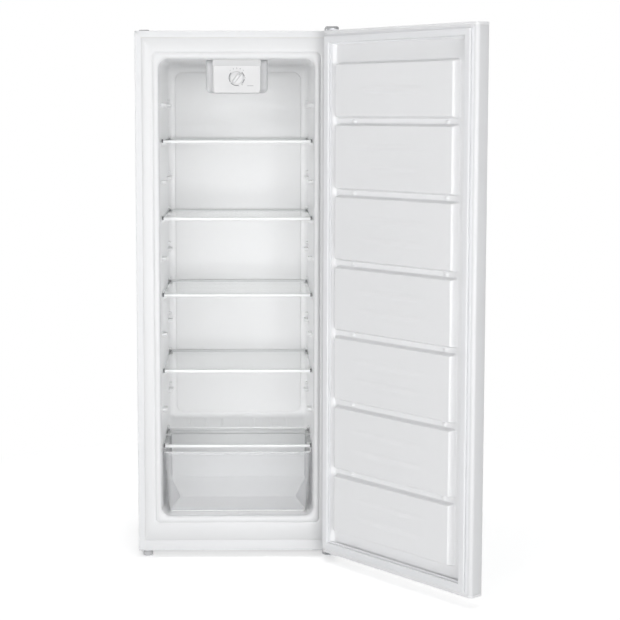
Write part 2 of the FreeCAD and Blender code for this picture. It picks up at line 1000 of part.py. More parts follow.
relay_face = "shell_offset - shell_length / 2"
relay_y = ("shell_centre - relay_width / 2", "shell_centre + relay_width / 2")
relay_low = "mount_high + relay_lift"
relay_case = rounded(
    "relay_case",
    block("relay_block", (less(relay_face, "relay_length"), relay_face), relay_y,
          (relay_low, plus(relay_low, "relay_height"))),
    "relay_round",
    lambda edge: straight_along(edge, 0),
)
relay_seam_gap = oval("relay_seam_gap", "shell_flange + tube_gap",
                      ("seam - flange_thick - tube_gap", "seam + flange_thick + tube_gap"))
relay_shell_gap = oval("relay_shell_gap", "0", ("mount_high", "seam"))
node("start_relay_box", cut("start_relay_box", relay_case, [relay_seam_gap, relay_shell_gap]))

gland_at = (
    less(relay_face, "gland_stand_off"),
    "shell_centre",
    plus(relay_low, "relay_height"),
)
gland = turned(
    "cord_gland",
    [("gland_bore", "0"), ("gland_radius", "0"), ("gland_radius - gland_taper", "gland_length"),
     ("gland_bore", "gland_length")],
    gland_at,
)
node("cord_gland", gland)

drier_at = ("-drier_side", "shell_centre")
drier_top = "bay_top - skin"
drier_neck = "pipe_radius"
drier_low = "-(2 * drier_cone + drier_length + 2 * pipe_bend)"
drier_head = "-pipe_bend"
drier_foot = "-(2 * drier_cone + drier_length + pipe_bend)"
node(
    "filter_drier",
    turned(
        "filter_drier",
        [
            ("0", "0"),
            (drier_neck, "0"),
            (drier_neck, drier_head),
            ("drier_radius", less(drier_head, "drier_cone")),
            ("drier_radius", plus(drier_foot, "drier_cone")),
            (drier_neck, drier_foot),
            (drier_neck, drier_low),
            ("0", drier_low),
        ],
        (drier_at[0], drier_at[1], drier_top),
    ),
)


def bay_pipe(name, side, depth):
    """A pipe from the compressor's end up into the foam above the bay."""
    face = value(f"shell_offset + {side} * shell_length / 2")
    stand_off = side * value("pipe_stand_off")
    height = value("mount_high + shell_low / 2") if side > 0 else value("seam + shell_high / 2")
    points = [
        FreeCAD.Vector(face, depth, height),
        FreeCAD.Vector(face + stand_off, depth, height),
        FreeCAD.Vector(face + stand_off, depth, value(drier_top)),
    ]
    return tube_along(name, points, value("pipe_bend"), value("pipe_radius"))


node("suction_pipe", bay_pipe("suction_pipe", 1, value("shell_centre")))
node("discharge_pipe", bay_pipe("discharge_pipe", -1, value("shell_centre")))


# ---------------------------------------------------------------------------------------------
# Feet
# ---------------------------------------------------------------------------------------------
def levelling_foot(label, side, seat):
    """A screw foot: a round pad, a neck up to its seat and a stud through the base."""
    outline = [
        ("0", "0"),
        ("foot_radius", "0"),
        ("foot_radius", "foot_pad_height"),
        ("foot_neck_radius", "foot_pad_height"),
        ("foot_neck_radius", less(seat, "running_gap")),
        ("foot_stud_radius", less(seat, "running_gap")),
        ("foot_stud_radius", "foot_height + foot_stud_rise"),
        ("0", "foot_height + foot_stud_rise"),
    ]
    return node(label, turned(label, outline, (FEET_AT[side][0], FEET_AT[side][1], "0")))


levelling_foot("front_foot_left", "left", "base")
levelling_foot("front_foot_right", "right", "base - hinge_plate")

rear_feet = []
for number, sign in enumerate((-1, 1)):
    middle = f"{sign} * (half_width - rear_foot_inset)"
    rear_feet.append(
        block(
            f"rear_foot_{number}",
            (less(middle, "rear_foot_size / 2"), plus(middle, "rear_foot_size / 2")),
            ("back - rear_foot_inset - rear_foot_size / 2", "back - rear_foot_inset + rear_foot_size / 2"),
            ("0", "base"),
        )
    )
node("rear_feet", group("rear_feet", rear_feet))


# ---------------------------------------------------------------------------------------------
# Hinges
# ---------------------------------------------------------------------------------------------
ARM_IN = "pivot_side - hinge_arm_in"
ARM_OUT = "pivot_side + hinge_arm_out"
ARM_BACK = "front + hinge_reach_back"
WING_IN = less(ARM_IN, "hinge_wing")
ARM_LOOP = [
    (ARM_IN, "pivot_depth - hinge_shoulder"),
    ("pivot_side - hinge_nose_half", "pivot_depth - hinge_nose"),
    ("pivot_side + hinge_nose_half", "pivot_depth - hinge_nose"),
    (ARM_OUT, "pivot_depth - hinge_shoulder"),
    (ARM_OUT, ARM_BACK),
]
WING_LOOP = [
    (WING_IN, ARM_BACK),
    (WING_IN, "front + hinge_wing_front"),
    (ARM_IN, "front + hinge_wing_front"),
]
UPPER_SCREWS = [
    ("pivot_side - screw_stagger", "front + screw_first"),
    ("pivot_side + screw_stagger", "front + screw_first + screw_step"),
    ("pivot_side - screw_stagger", "front + screw_first + 2 * screw_step"),
]
LOWER_SCREWS = [
    (plus(WING_IN, "wing_screw_inset"), "front + wing_screw_first"),
    (plus(WING_IN, "wing_screw_inset"), "front + wing_screw_first + wing_screw_step"),
]
PIN_HOLE = (("pivot_side", "pivot_depth"), "pin_radius")
FOOT_HOLE = (FEET_AT["right"], "foot_stud_radius + running_gap")


def screw_holes(spots):
    """Clearance holes at the screws."""
    return [(at, "screw_radius + running_gap") for at in spots]


node(
    "upper_hinge_bracket",
    padded("upper_hinge_bracket", "XY_Plane", [ARM_LOOP + [(ARM_IN, ARM_BACK)]], "top",
           "top + hinge_plate", [PIN_HOLE] + screw_holes(UPPER_SCREWS)),
)
node(
    "lower_hinge_bracket",
    padded("lower_hinge_bracket", "XY_Plane", [ARM_LOOP + WING_LOOP], "base - hinge_plate", "base",
           [PIN_HOLE, FOOT_HOLE] + screw_holes(LOWER_SCREWS)),
)


def hinge_pin(label, seat, sign):
    """A riveted pin with a head, pointing down from the upper bracket or up from the lower one."""

    def rise(text):
        return text if sign > 0 else minus(text)

    head = minus("pin_head_height")
    reach = "hinge_plate + pin_engage"
    outline = [
        ("0", rise(head)),
        ("pin_head_radius", rise(head)),
        ("pin_head_radius", "0"),
        ("pin_radius", "0"),
        ("pin_radius", rise(reach)),
        ("0", rise(reach)),
    ]
    return turned(label, outline, ("pivot_side", "pivot_depth", seat))


pins = [
    hinge_pin("upper_hinge_pin", "top + hinge_plate", -1),
    hinge_pin("lower_hinge_pin", "base - hinge_plate", 1),
]
node("hinge_pins", group("hinge_pins", pins))


def screw_set(label, spots, seat, sign):
    """Pan-head screws driven down or up into the cabinet."""
    screws = []
    for number, at in enumerate(spots):
        tip = f"{-sign} * (hinge_plate + screw_length)"
        head = f"{sign} * screw_head_height"
        outline = [
            ("0", head),
            ("screw_head_radius", head),
            ("screw_head_radius", "0"),
            ("screw_radius", "0"),
            ("screw_radius", tip),
            ("0", tip),
        ]
        screws.append(turned(f"{label}_{number}", outline, (at[0], at[1], seat)))
    return screws


upper_screws = screw_set("upper_screw", UPPER_SCREWS, "top + hinge_plate", 1)
lower_screws = screw_set("lower_screw", LOWER_SCREWS, "base - hinge_plate", -1)
node("hinge_screws", group("hinge_screws", upper_screws + lower_screws))

cover_x = (less(ARM_IN, "cover_gap"), "half_width + cover_gap")
cover_y = ("front + cover_from_front", plus(ARM_BACK, "cover_gap + cover_wall"))
cover_z = ("top", "top + cover_height")
cover_case = rounded(
    "cover_case",
    block("cover_block", cover_x, cover_y, cover_z),
    "cover_round",
    lambda edge: straight_along(edge, 2) or at_height(edge, "top + cover_height"),
)
cover_hollow = block(
    "cover_hollow",
    (plus(cover_x[0], "cover_wall / 2"), less(cover_x[1], "cover_wall / 2")),
    ("front", less(cover_y[1], "cover_wall")),
    ("top - 1", "top + cover_height - cover_wall"),
)
node("upper_hinge_cover", cut("upper_hinge_cover", cover_case, [cover_hollow]))

node(
    "hinge_hole_plug",
    rounded(
        "hinge_hole_plug",
        block(
            "plug_block",
            ("-(half_width - plug_inset)", "-(half_width - plug_inset) + plug_length"),
            ("front + plug_from_front", "front + plug_from_front + plug_width"),
            ("top", "top + plug_thick"),
        ),
        "plug_round",
        lambda edge: at_height(edge, "top + plug_thick"),
    ),
)

# The screws pass the steel and bite in the foam behind it.
screw_cutters_up = [
    rod(f"top_screw_hole_{number}", "screw_radius + running_gap", "top - screw_length - 1", "top + 1", at)
    for number, at in enumerate(UPPER_SCREWS)
]
screw_cutters_down = [
    rod(f"base_screw_hole_{number}", "screw_radius + running_gap", "base - 1",
        "base + screw_length + 1", at)
    for number, at in enumerate(LOWER_SCREWS)
]
node("top_panel", cut("top_panel", top_panel_bare, screw_cutters_up))
node("base_plate", cut("base_plate", base_plate_bare, screw_cutters_down))
node("cabinet_foam", cut("cabinet_foam", cabinet_foam_bare, screw_cutters_up + screw_cutters_down))


# ---------------------------------------------------------------------------------------------
# Door, drawn shut about its pivot and then turned open
# ---------------------------------------------------------------------------------------------
def hang(item):
    """Turn a door piece open about the hinge line."""
    item.Placement = FreeCAD.Placement(FreeCAD.Vector(), FreeCAD.Rotation(FreeCAD.Vector(0, 0, 1), 1))
    bind(item, "Placement.Base.x", "pivot_side")
    bind(item, "Placement.Base.y", "pivot_depth")
    bind(item, "Placement.Rotation.Angle", "open_angle")
    return item


def leaf_node(label, item):
    """Keep a door piece, hung open."""
    return node(label, hang(item))


SHEET_X = ("leaf_free + skin", "leaf_hinge - skin")
CORE_Z = ("leaf_low + cap_height", "leaf_high - cap_height")
outer_loop = [
    ("leaf_free", "leaf_in"),
    ("leaf_free", "leaf_out"),
    ("leaf_hinge", "leaf_out"),
    ("leaf_hinge", "leaf_in"),
    ("leaf_hinge - skin", "leaf_in"),
    ("leaf_hinge - skin", "leaf_out + skin"),
    ("leaf_free + skin", "leaf_out + skin"),
    ("leaf_free + skin", "leaf_in"),
]
leaf_node("door_outer_panel", padded("door_outer_panel", "XY_Plane", [outer_loop], *CORE_Z))


def bush_hole(name, z):
    """Room for a hinge bush on the pivot."""
    return rod(name, "bush_radius", z[0], z[1], ("0", "0"))


def end_cap(label, z):
    """A plastic cap across the top or bottom of the door."""
    plate = block(label + "_plate", ("leaf_free", "leaf_hinge"), ("leaf_out", "leaf_in"), z)
    eased = rounded(
        label + "_eased",
        plate,
        "cap_round",
        lambda edge: straight_along(edge, 2),
    )
    hole = bush_hole(label + "_hole", (less(z[0], "1"), plus(z[1], "1")))
    return leaf_node(label, cut(label, eased, [hole]))


end_cap("door_bottom_cap", ("leaf_low", "leaf_low + cap_height"))
end_cap("door_top_cap", ("leaf_high - cap_height", "leaf_high"))


def bush(label, low):
    """A plastic bush that the hinge pin turns in."""
    outline = [
        ("pin_radius + running_gap", "0"),
        ("bush_radius", "0"),
        ("bush_radius", "bush_length"),
        ("pin_radius + running_gap", "bush_length"),
    ]
    return turned(label, outline, ("0", "0", low))


bushes = [bush("lower_hinge_bush", "leaf_low"), bush("upper_hinge_bush", "leaf_high - bush_length")]
leaf_node("hinge_bushes", group("hinge_bushes", bushes))


def frustum(name, x, y, z, run_x, run_z):
    """A block that narrows by one run at its sides and another at its ends, from low y to high y."""
    item = doc.addObject("Part::Wedge", name)
    for axis, (low, high) in (("X", x), ("Y", y), ("Z", z)):
        bind(item, axis + "min", low)
        bind(item, axis + "max", high)
    bind(item, "X2min", plus(x[0], run_x))
    bind(item, "X2max", less(x[1], run_x))
    bind(item, "Z2min", plus(z[0], run_z))
    bind(item, "Z2max", less(z[1], run_z))
    return item


def door_pads(name, drop):
    """The raised pads of the door liner, in a column, parted by channels. Drop shrinks them all round."""
    low_y = f"leaf_in - recess_depth - ({drop}) - 1"
    high_y = f"leaf_in - recess_depth + pad_rise - ({drop})"
    pads = []
    count = int(value("pad_count"))
    for number in range(count):
        foot = "leaf_low + pad_foot"
        head = "leaf_high - pad_head"
        if number > 0:
            foot = f"leaf_low + first_channel + {number - 1} * channel_pitch + channel_width / 2"
        if number < count - 1:
            head = f"leaf_low + first_channel + {number} * channel_pitch - channel_width / 2"
        spread_side = less("pad_side_run", drop)
        spread_edge = less("pad_edge_run", drop)
        pads.append(
            frustum(
                f"{name}_{number}",
                (f"leaf_free + pad_inset_free - ({spread_side})", f"leaf_hinge - pad_inset_hinge + {spread_side}"),
                (low_y, high_y),
                (f"{foot} - ({spread_edge})", f"{head} + {spread_edge}"),
                "pad_side_run",
                "pad_edge_run",
            )
        )
    return pads


def door_form(name, drop):
    """The filled inside of the door up to the liner, lowered by a distance."""
    slab = block(
        name + "_slab",
        SHEET_X,
        ("leaf_out + skin", less("leaf_in", drop)),
        CORE_Z,
    )
    recess = doc.addObject("Part::Wedge", name + "_recess")
    x = (f"leaf_free + recess_inset + recess_run - ({drop})", f"leaf_hinge - recess_inset - recess_run + {drop}")
    z = (f"leaf_low + recess_foot + recess_run - ({drop})", f"leaf_high - recess_head - recess_run + {drop}")
    y = (f"leaf_in - recess_depth - ({drop})", "leaf_in")
    run = f"recess_run * (recess_depth + {drop}) / recess_depth"
    for axis, (low, high) in (("X", x), ("Y", y), ("Z", z)):
        bind(recess, axis + "min", low)
        bind(recess, axis + "max", high)
    bind(recess, "X2min", less(x[0], run))
    bind(recess, "X2max", plus(x[1], run))
    bind(recess, "Z2min", less(z[0], run))
    bind(recess, "Z2max", plus(z[1], run))
    dished = cut(name + "_dished", slab, [recess])
    return fuse(name, [dished] + door_pads(name + "_pad", drop))


liner_form = door_form("door_liner_form", "0")
foam_form = door_form("door_foam_form", "door_liner_wall")
leaf_node("door_liner", cut("door_liner", liner_form, [foam_form]))
door_bush_room = [
    bush_hole("door_bush_room_low", ("leaf_low", "leaf_low + bush_length + 1")),
    bush_hole("door_bush_room_high", ("leaf_high - bush_length - 1", "leaf_high")),
]
leaf_node("door_foam", cut("door_foam", foam_form, door_bush_room))

GASKET_X = ("leaf_free + gasket_inset", "leaf_hinge - gasket_inset")
GASKET_Z = ("leaf_low + gasket_inset", "leaf_high - gasket_inset")
gasket_face = "leaf_in + gasket_space - gasket_clear"
gasket_bar = padded(
    "gasket_bar",
    "XZ_Plane",
    frame_loops(GASKET_X, GASKET_Z, "gasket_width"),
    "leaf_in",
    gasket_face,
)
MAGNET_IN = "(gasket_width - magnet_width) / 2"
magnet_x = (plus(GASKET_X[0], MAGNET_IN), less(GASKET_X[1], MAGNET_IN))
magnet_z = (plus(GASKET_Z[0], MAGNET_IN), less(GASKET_Z[1], MAGNET_IN))
magnet_y = (f"{gasket_face} - magnet_thick - 1", f"{gasket_face} - 1")
magnet_slot = padded(
    "magnet_slot", "XZ_Plane", frame_loops(magnet_x, magnet_z, "magnet_width"), *magnet_y
)
leaf_node("door_gasket", cut("door_gasket", gasket_bar, [magnet_slot]))
magnet_strips = [
    block("magnet_strip_hinge", (less(magnet_x[1], "magnet_width"), magnet_x[1]), magnet_y,
          (plus(magnet_z[0], "magnet_width"), less(magnet_z[1], "magnet_width"))),
    block("magnet_strip_free", (magnet_x[0], plus(magnet_x[0], "magnet_width")), magnet_y,
          (plus(magnet_z[0], "magnet_width"), less(magnet_z[1], "magnet_width"))),
    block("magnet_strip_top", magnet_x, magnet_y, (less(magnet_z[1], "magnet_width"), magnet_z[1])),
    block("magnet_strip_bottom", magnet_x, magnet_y, (magnet_z[0], plus(magnet_z[0], "magnet_width"))),
]
leaf_node("gasket_magnets", group("gasket_magnets", magnet_strips))

stop_loop = [
    ("-(stop_start + stop_length)", "leaf_in - stop_step_back"),
    ("-stop_start", "leaf_in - stop_step_back"),
    ("-stop_start", "leaf_in - stop_step_back - stop_width"),
]
leaf_node(
    "door_stop",
    padded("door_stop", "XY_Plane", [stop_loop], "leaf_low - stop_thick", "leaf_low"),
)


# ---------------------------------------------------------------------------------------------
# Shelves
# ---------------------------------------------------------------------------------------------
def shelf(number, level, tail):
    """A glass shelf with a trim pressed on its front edge and one on its back edge."""
    under = level_height(level)
    over = plus(under, "glass_thick")
    glass_y = ("shelf_nose + trim_wall + trim_slot_gap", less(tail, "trim_wall + trim_slot_gap"))
    glass_x = ("-(shelf_half - trim_slot_gap)", "shelf_half - trim_slot_gap")
    label = f"shelf_{number}"
    node(label + "_glass", block(label + "_glass", glass_x, glass_y, (under, over)))
    low = less(under, "(trim_height - glass_thick) / 2")
    high = plus(over, "(trim_height - glass_thick) / 2")
    slot = (less(under, "trim_slot_gap"), plus(over, "trim_slot_gap"))
    front_bar = block(
        label + "_front_bar", ("-shelf_half", "shelf_half"), ("shelf_nose", "shelf_nose + trim_depth"), (low, high)
    )
    front_slot = block(
        label + "_front_slot",
        ("-shelf_half - 1", "shelf_half + 1"),
        ("shelf_nose + trim_wall", "shelf_nose + trim_depth + 1"),
        slot,
    )
    node(label + "_front_trim", cut(label + "_front_trim", rounded(
        label + "_front_soft", front_bar, "trim_wall", lambda edge: straight_along(edge, 0)
    ), [front_slot]))
    return under, over, high


STEP_TAIL = "step_face - shelf_back_gap"
SHELF_LEVELS = [2 * number for number in range(int(value("shelf_count")))]
for number, level in enumerate(SHELF_LEVELS, start=1):
    tail = STEP_TAIL if level == 0 else "shelf_tail"
    under, over, high = shelf(number, level, tail)
    rear_bar = block(
        f"shelf_{number}_rear_bar",
        ("-shelf_half", "shelf_half"),
        (less(tail, "rear_trim_depth"), tail),
        (under, high),
    )
    rear_lip = block(
        f"shelf_{number}_rear_lip",
        ("-(shelf_half - rear_trim_inset)", "shelf_half - rear_trim_inset"),
        (less(tail, "rear_trim_depth"), tail),
        (less(under, "(trim_height - glass_thick) / 2"), under),
    )
    rear_slot = block(
        f"shelf_{number}_rear_slot",
        ("-shelf_half - 1", "shelf_half + 1"),
        (less(tail, "rear_trim_depth + 1"), less(tail, "trim_wall")),
        (less(under, "trim_slot_gap"), plus(over, "trim_slot_gap")),
    )
    rear_body = fuse(f"shelf_{number}_rear_body", [rear_bar, rear_lip])
    node(f"shelf_{number}_rear_trim", cut(f"shelf_{number}_rear_trim", rear_body, [rear_slot]))


# ---------------------------------------------------------------------------------------------
# Drawer
# ---------------------------------------------------------------------------------------------
def round_loop(corners, radius, height):
    """A level wire through corners, each rounded by one radius."""
    edges = []
    count = len(corners)
    joins = []
    for number, corner in enumerate(corners):
        to_before = (corners[number - 1] - corner).normalize()
        to_after = (corners[(number + 1) % count] - corner).normalize()
        half = to_before.getAngle(to_after) / 2
        reach = radius / math.tan(half)
        inward = (to_before + to_after).normalize()
        centre = corner + inward * (radius / math.sin(half))
        joins.append((corner + to_before * reach, centre - inward * radius, corner + to_after * reach))
    for number, (first, middle, last) in enumerate(joins):
        edges.append(Part.Arc(first, middle, last).toShape())
        edges.append(Part.LineSegment(last, joins[(number + 1) % count][0]).toShape())
    wire = Part.Wire(edges)
    wire.translate(FreeCAD.Vector(0, 0, height))
    return wire


def tub(grow, floor_lift, extra_top):
    """A scoop-shaped tub: level floor, sloping heel and nearly upright walls."""
    half = value("drawer_half")
    nose = value("drawer_nose")
    lean = value("drawer_front_lean")
    tail = value("drawer_tail")
    heel = value("slope_foot") - value("drawer_round")
    low = value("drawer_low")
    high = value("drawer_high")
    step = low + value("slope_rise")
    toe_front = value("drawer_toe_front")
    toe_rear = value("drawer_toe_rear")
    above = 1 - value("slope_rise") / (high - low)
    rear_half = half - value("drawer_rear_taper")
    stages = [
        (low, nose + lean, heel, half - toe_front, half - toe_rear),
        (step, nose + lean * above, tail - value("drawer_tail_draft"), half - toe_front * above,
         half - value("drawer_waist")),
        (high, nose, tail, half, rear_half),
    ]
    if extra_top:
        stages.append((high + extra_top, nose, tail, half, rear_half))
    wires = []
    for height, front_y, back_y, front_half, back_half in stages:
        front_y += grow
        back_y -= grow
        front_half -= grow
        back_half -= grow
        corners = [
            FreeCAD.Vector(-front_half, front_y, 0),
            FreeCAD.Vector(front_half, front_y, 0),
            FreeCAD.Vector(back_half, back_y, 0),
            FreeCAD.Vector(-back_half, back_y, 0),
        ]
        lift = floor_lift if height == low else 0
        wires.append(round_loop(corners, value("drawer_round") - grow, height + lift))
    return Part.makeLoft(wires, True, True)


wall = value("drawer_wall")
drawer_shell = tub(0, 0, 0).cut(tub(wall, wall, 2))
lip_low = value("drawer_high - drawer_lip_thick")
lip = Part.makeBox(
    2 * value("drawer_half - drawer_round"),
    value("drawer_lip"),
    value("drawer_lip_thick"),
    FreeCAD.Vector(-value("drawer_half - drawer_round"), value("drawer_nose") - value("drawer_lip") + wall, lip_low),
)
drawer = doc.addObject("Part::Feature", "drawer_bin")
drawer.Shape = drawer_shell.fuse(lip.cut(tub(wall, wall, 2))).removeSplitter()
node("drawer_bin", drawer)


# ---------------------------------------------------------------------------------------------
# Thermostat
# ---------------------------------------------------------------------------------------------
def housing_form(name, wall_text, roof):
    """The housing's outside, or its inside when let in by a wall."""
    loop = [
        (f"housing_face - housing_slant + {wall_text}", roof),
        (f"housing_face + {wall_text}", "open_high - housing_slant"),
        (f"housing_face + {wall_text}", f"housing_foot + {wall_text}"),
        (f"housing_face + housing_depth - {wall_text}", f"housing_foot + {wall_text}"),
        (f"housing_face + housing_depth - {wall_text}", roof),
    ]
    half = f"housing_width / 2 - {wall_text}"
    form = padded(name + "_form", "YZ_Plane", [loop], minus(half), half)
    foot = f"housing_foot + {wall_text}"
    return rounded(
        name,
        form,
        f"housing_round - {wall_text}",
        lambda edge: straight_along(edge, 1) and at_height(edge, foot) or (
            straight_along(edge, 0) and at_height(edge, foot)
        ),
    )


housing_out = housing_form("housing_out", "0", "open_high")
housing_in = housing_form("housing_in", "housing_wall", "open_high + 1")


def lying_rod(name, radius, y, at):
    """A cylinder along the depth, between two expressions, at a width and a height."""
    item = doc.addObject("Part::Cylinder", name)
    bind(item, "Radius", radius)
    bind(item, "Height", less(y[1], y[0]))
    item.Placement.Rotation = FreeCAD.Rotation(FreeCAD.Vector(1, 0, 0), -90)
    move(item, (at[0], y[0], at[1]))
    return item


DIAL_AT = ("0", "dial_centre")
shaft_hole = lying_rod(
    "shaft_hole",
    "shaft_radius + running_gap",
    ("housing_face - 1", "housing_face + housing_wall + 1"),
    DIAL_AT,
)
node("thermostat_housing", cut("thermostat_housing", housing_out, [housing_in, shaft_hole]))

switch_y = ("housing_face + housing_wall", "housing_face + housing_wall + switch_depth")
switch_block = block(
    "switch_block",
    ("-switch_width / 2", "switch_width / 2"),
    switch_y,
    ("dial_centre - switch_height / 2", "dial_centre + switch_height / 2"),
)
switch_bore = lying_rod(
    "switch_bore",
    "shaft_radius + running_gap",
    (less(switch_y[0], "1"), plus(switch_y[0], "shaft_reach + 1")),
    DIAL_AT,
)
node("thermostat_switch", cut("thermostat_switch", switch_block, [switch_bore]))

dial_back = "housing_face - dial_gap"
dial_disc = lying_rod("dial_disc_body", "dial_radius", (less(dial_back, "dial_disc"), dial_back), DIAL_AT)
dial_bar = block(
    "dial_bar",
    ("-dial_grip_width / 2", "dial_grip_width / 2"),
    (f"{dial_back} - dial_disc - dial_grip", f"{dial_back} - dial_disc / 2"),
    ("dial_centre - dial_radius + dial_grip_inset", "dial_centre + dial_radius - dial_grip_inset"),
)
dial_shaft = lying_rod(
    "dial_shaft",
    "shaft_radius",
    (less(dial_back, "dial_disc / 2"), "housing_face + housing_wall + shaft_reach"),
    DIAL_AT,
)
node("thermostat_dial", fuse("thermostat_dial", [dial_disc, dial_bar, dial_shaft]))


# ---------------------------------------------------------------------------------------------
# Check and write
# ---------------------------------------------------------------------------------------------
doc.recompute()
failed = [
    item.Name for item in doc.Objects if "Invalid" in item.State or "Error" in item.State
]
if failed:
    raise RuntimeError("features failed: " + ", ".join(failed))

os.makedirs("parts", exist_ok=True)
for label, item in NODES.items():
    shape = item.Shape
    if shape.isNull() or not shape.isValid() or not shape.Solids:
        raise RuntimeError("bad solid: " + label)
    shape.exportStep(f"parts/{label}.step")
print(f"{len(NODES)} pieces written")
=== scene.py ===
"""Upright freezer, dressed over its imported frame.

The frame gives the bodies, joints and places of every CAD node, in metres. Each
class below builds one sub-assembly as detailed pieces, lets every piece ride on
its body and says which CAD nodes it stands for. The rest of the nodes keep
their own meshes and get a finish.
"""

import logging
import math
from dataclasses import dataclass, field
from enum import Enum
from typing import Callable, Iterable, Sequence

import bmesh
import bpy
import numpy as np
from mathutils import Matrix, Vector


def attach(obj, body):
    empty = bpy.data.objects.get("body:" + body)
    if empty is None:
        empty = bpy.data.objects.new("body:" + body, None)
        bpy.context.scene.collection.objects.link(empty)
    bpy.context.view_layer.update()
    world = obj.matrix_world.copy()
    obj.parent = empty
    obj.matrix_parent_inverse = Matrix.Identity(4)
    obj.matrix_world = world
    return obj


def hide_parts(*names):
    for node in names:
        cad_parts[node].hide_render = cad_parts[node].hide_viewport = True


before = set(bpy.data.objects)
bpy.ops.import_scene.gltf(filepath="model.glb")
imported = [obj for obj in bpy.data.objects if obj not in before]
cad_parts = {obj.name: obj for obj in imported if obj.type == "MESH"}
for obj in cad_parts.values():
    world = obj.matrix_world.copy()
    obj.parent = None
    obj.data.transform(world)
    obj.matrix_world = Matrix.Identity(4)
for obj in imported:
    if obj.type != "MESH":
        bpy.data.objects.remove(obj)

log = logging.getLogger("upright_freezer")

Point2 = tuple[float, float]
Colour = tuple[float, float, float]

# ---------------------------------------------------------------------------
# Places that several sub-assemblies share, in metres
# ---------------------------------------------------------------------------
FRONT = -0.248
BACK = 0.248
BASE = 0.020
TOP = 1.454
HALF = 0.275
FOLD = 0.018
SILL = 0.049
OPEN_HALF = 0.210
OPEN_LOW = 0.118
OPEN_HIGH = 1.378
INNER_BACK = 0.188
STEP_FACE = 0.043
STEP_TOP = 0.308
PIVOT = Vector((0.2582, -0.2808, 0.0))
DOOR_OPEN = math.radians(130.0)

# The shelves' undersides, from the lowest up, and where the glass ends
SHELF_UNDERS = (0.299, 0.5125, 0.726, 0.9395, 1.153)
SHELF_TAIL = 0.1785
LOW_SHELF_TAIL = STEP_FACE - 0.0055

# What meshes are cleaned and shaded with
MERGE = 1e-6
SMOOTH = 35.0
THIN = 1e-5
CORNERS = ((-1, -1), (1, -1), (1, 1), (-1, 1))


class Body(Enum):
    """The moving bodies that pieces ride on."""

    CABINET = "cabinet"
    DOOR = "door"
    DRAWER = "drawer"
    DIAL = "dial"
    FOOT_LEFT = "foot_left"
    FOOT_RIGHT = "foot_right"


class Axis(Enum):
    """The axis that an outline is drawn out along."""

    X = 0
    Y = 1
    Z = 2


# ---------------------------------------------------------------------------
# Finishes
# ---------------------------------------------------------------------------
class Shading:
    """A material's node tree while it is being wired."""

    def __init__(self, name: str) -> None:
        """Start an empty material.

        Args:
            name: The material's name.
        """
        self.material = bpy.data.materials.new(name)
        self.material.use_nodes = True
        self.nodes = self.material.node_tree.nodes
        self.links = self.material.node_tree.links
        self.nodes.clear()
        self.output = self.nodes.new("ShaderNodeOutputMaterial")
        self.place = self.nodes.new("ShaderNodeTexCoord").outputs["Object"]

    def add(self, kind: str, **sockets: object) -> bpy.types.Node:
        """Add a node and fill its inputs.

        Args:
            kind: The node's type without its ShaderNode prefix.
            **sockets: Input names with underscores for spaces. A socket is linked, and a
                number or tuple is set.

        Returns:
            The new node.
        """
        node = self.nodes.new("ShaderNode" + kind)
        for key, value in sockets.items():
            socket = node.inputs[key.replace("_", " ")]
            if isinstance(value, bpy.types.NodeSocket):
                self.links.new(value, socket)
            else:
                socket.default_value = value
        return node

    def noise(self, scale: float, detail: float = 2.0, stretch: Sequence[float] = (1, 1, 1)) -> bpy.types.NodeSocket:
        """A noise pattern fixed to the piece.

        Args:
            scale: Features per metre.
            detail: Octaves.
            stretch: Scale along each axis.

        Returns:
            The pattern's value socket.
        """
        spot = self.add("Mapping", Vector=self.place, Scale=tuple(stretch)).outputs["Vector"]
        return self.add("TexNoise", Vector=spot, Scale=scale, Detail=detail).outputs["Fac"]

    def ramp(
        self, value: bpy.types.NodeSocket, low: float, high: float, start: float = 0.3, end: float = 0.7
    ) -> bpy.types.NodeSocket:
        """Spread a pattern between two numbers.

        Args:
            value: The pattern.
            low: What the start gives.
            high: What the end gives.
            start: Where in the pattern the spread starts.
            end: Where it ends.

        Returns:
            The spread value.
        """
        node = self.add("MapRange", Value=value)
        for name, number in (("From Min", start), ("From Max", end), ("To Min", low), ("To Max", high)):
            node.inputs[name].default_value = number
        return node.outputs["Result"]

    def tint(self, value: bpy.types.NodeSocket, dark: Colour, light: Colour) -> bpy.types.NodeSocket:
        """Mix two colours by a pattern.

        Args:
            value: The pattern, from 0 to 1.
            dark: The colour at 0.
            light: The colour at 1.

        Returns:
            The mixed colour.
        """
        node = self.nodes.new("ShaderNodeMix")
        node.data_type = "RGBA"
        self.links.new(value, node.inputs["Factor"])
        for name, colour in (("A", dark), ("B", light)):
            socket = [s for s in node.inputs if s.name == name and s.type == "RGBA"][0]
            socket.default_value = (*colour, 1.0)
        return [s for s in node.outputs if s.type == "RGBA"][0]

    def bump(
        self, height: bpy.types.NodeSocket, depth: float, under: bpy.types.NodeSocket | None = None
    ) -> bpy.types.NodeSocket:
        """A surface relief.

        Args:
            height: The relief's pattern.
            depth: Its height in metres.
            under: A coarser relief below it.

        Returns:
            The normal socket.
        """
        node = self.add("Bump", Height=height, Distance=depth, Strength=1.0)
        if under is not None:
            self.links.new(under, node.inputs["Normal"])
        return node.outputs["Normal"]

    def close(self, shader: bpy.types.Node) -> bpy.types.Material:
        """Join the last shader to the output.

        Args:
            shader: The node whose first output is the surface.

        Returns:
            The finished material.
        """
        self.links.new(shader.outputs[0], self.output.inputs["Surface"])
        return self.material


def shifted(colour: Colour, by: float) -> Colour:
    """The colour made lighter or darker by a factor."""
    return tuple(min(1.0, part * by) for part in colour)


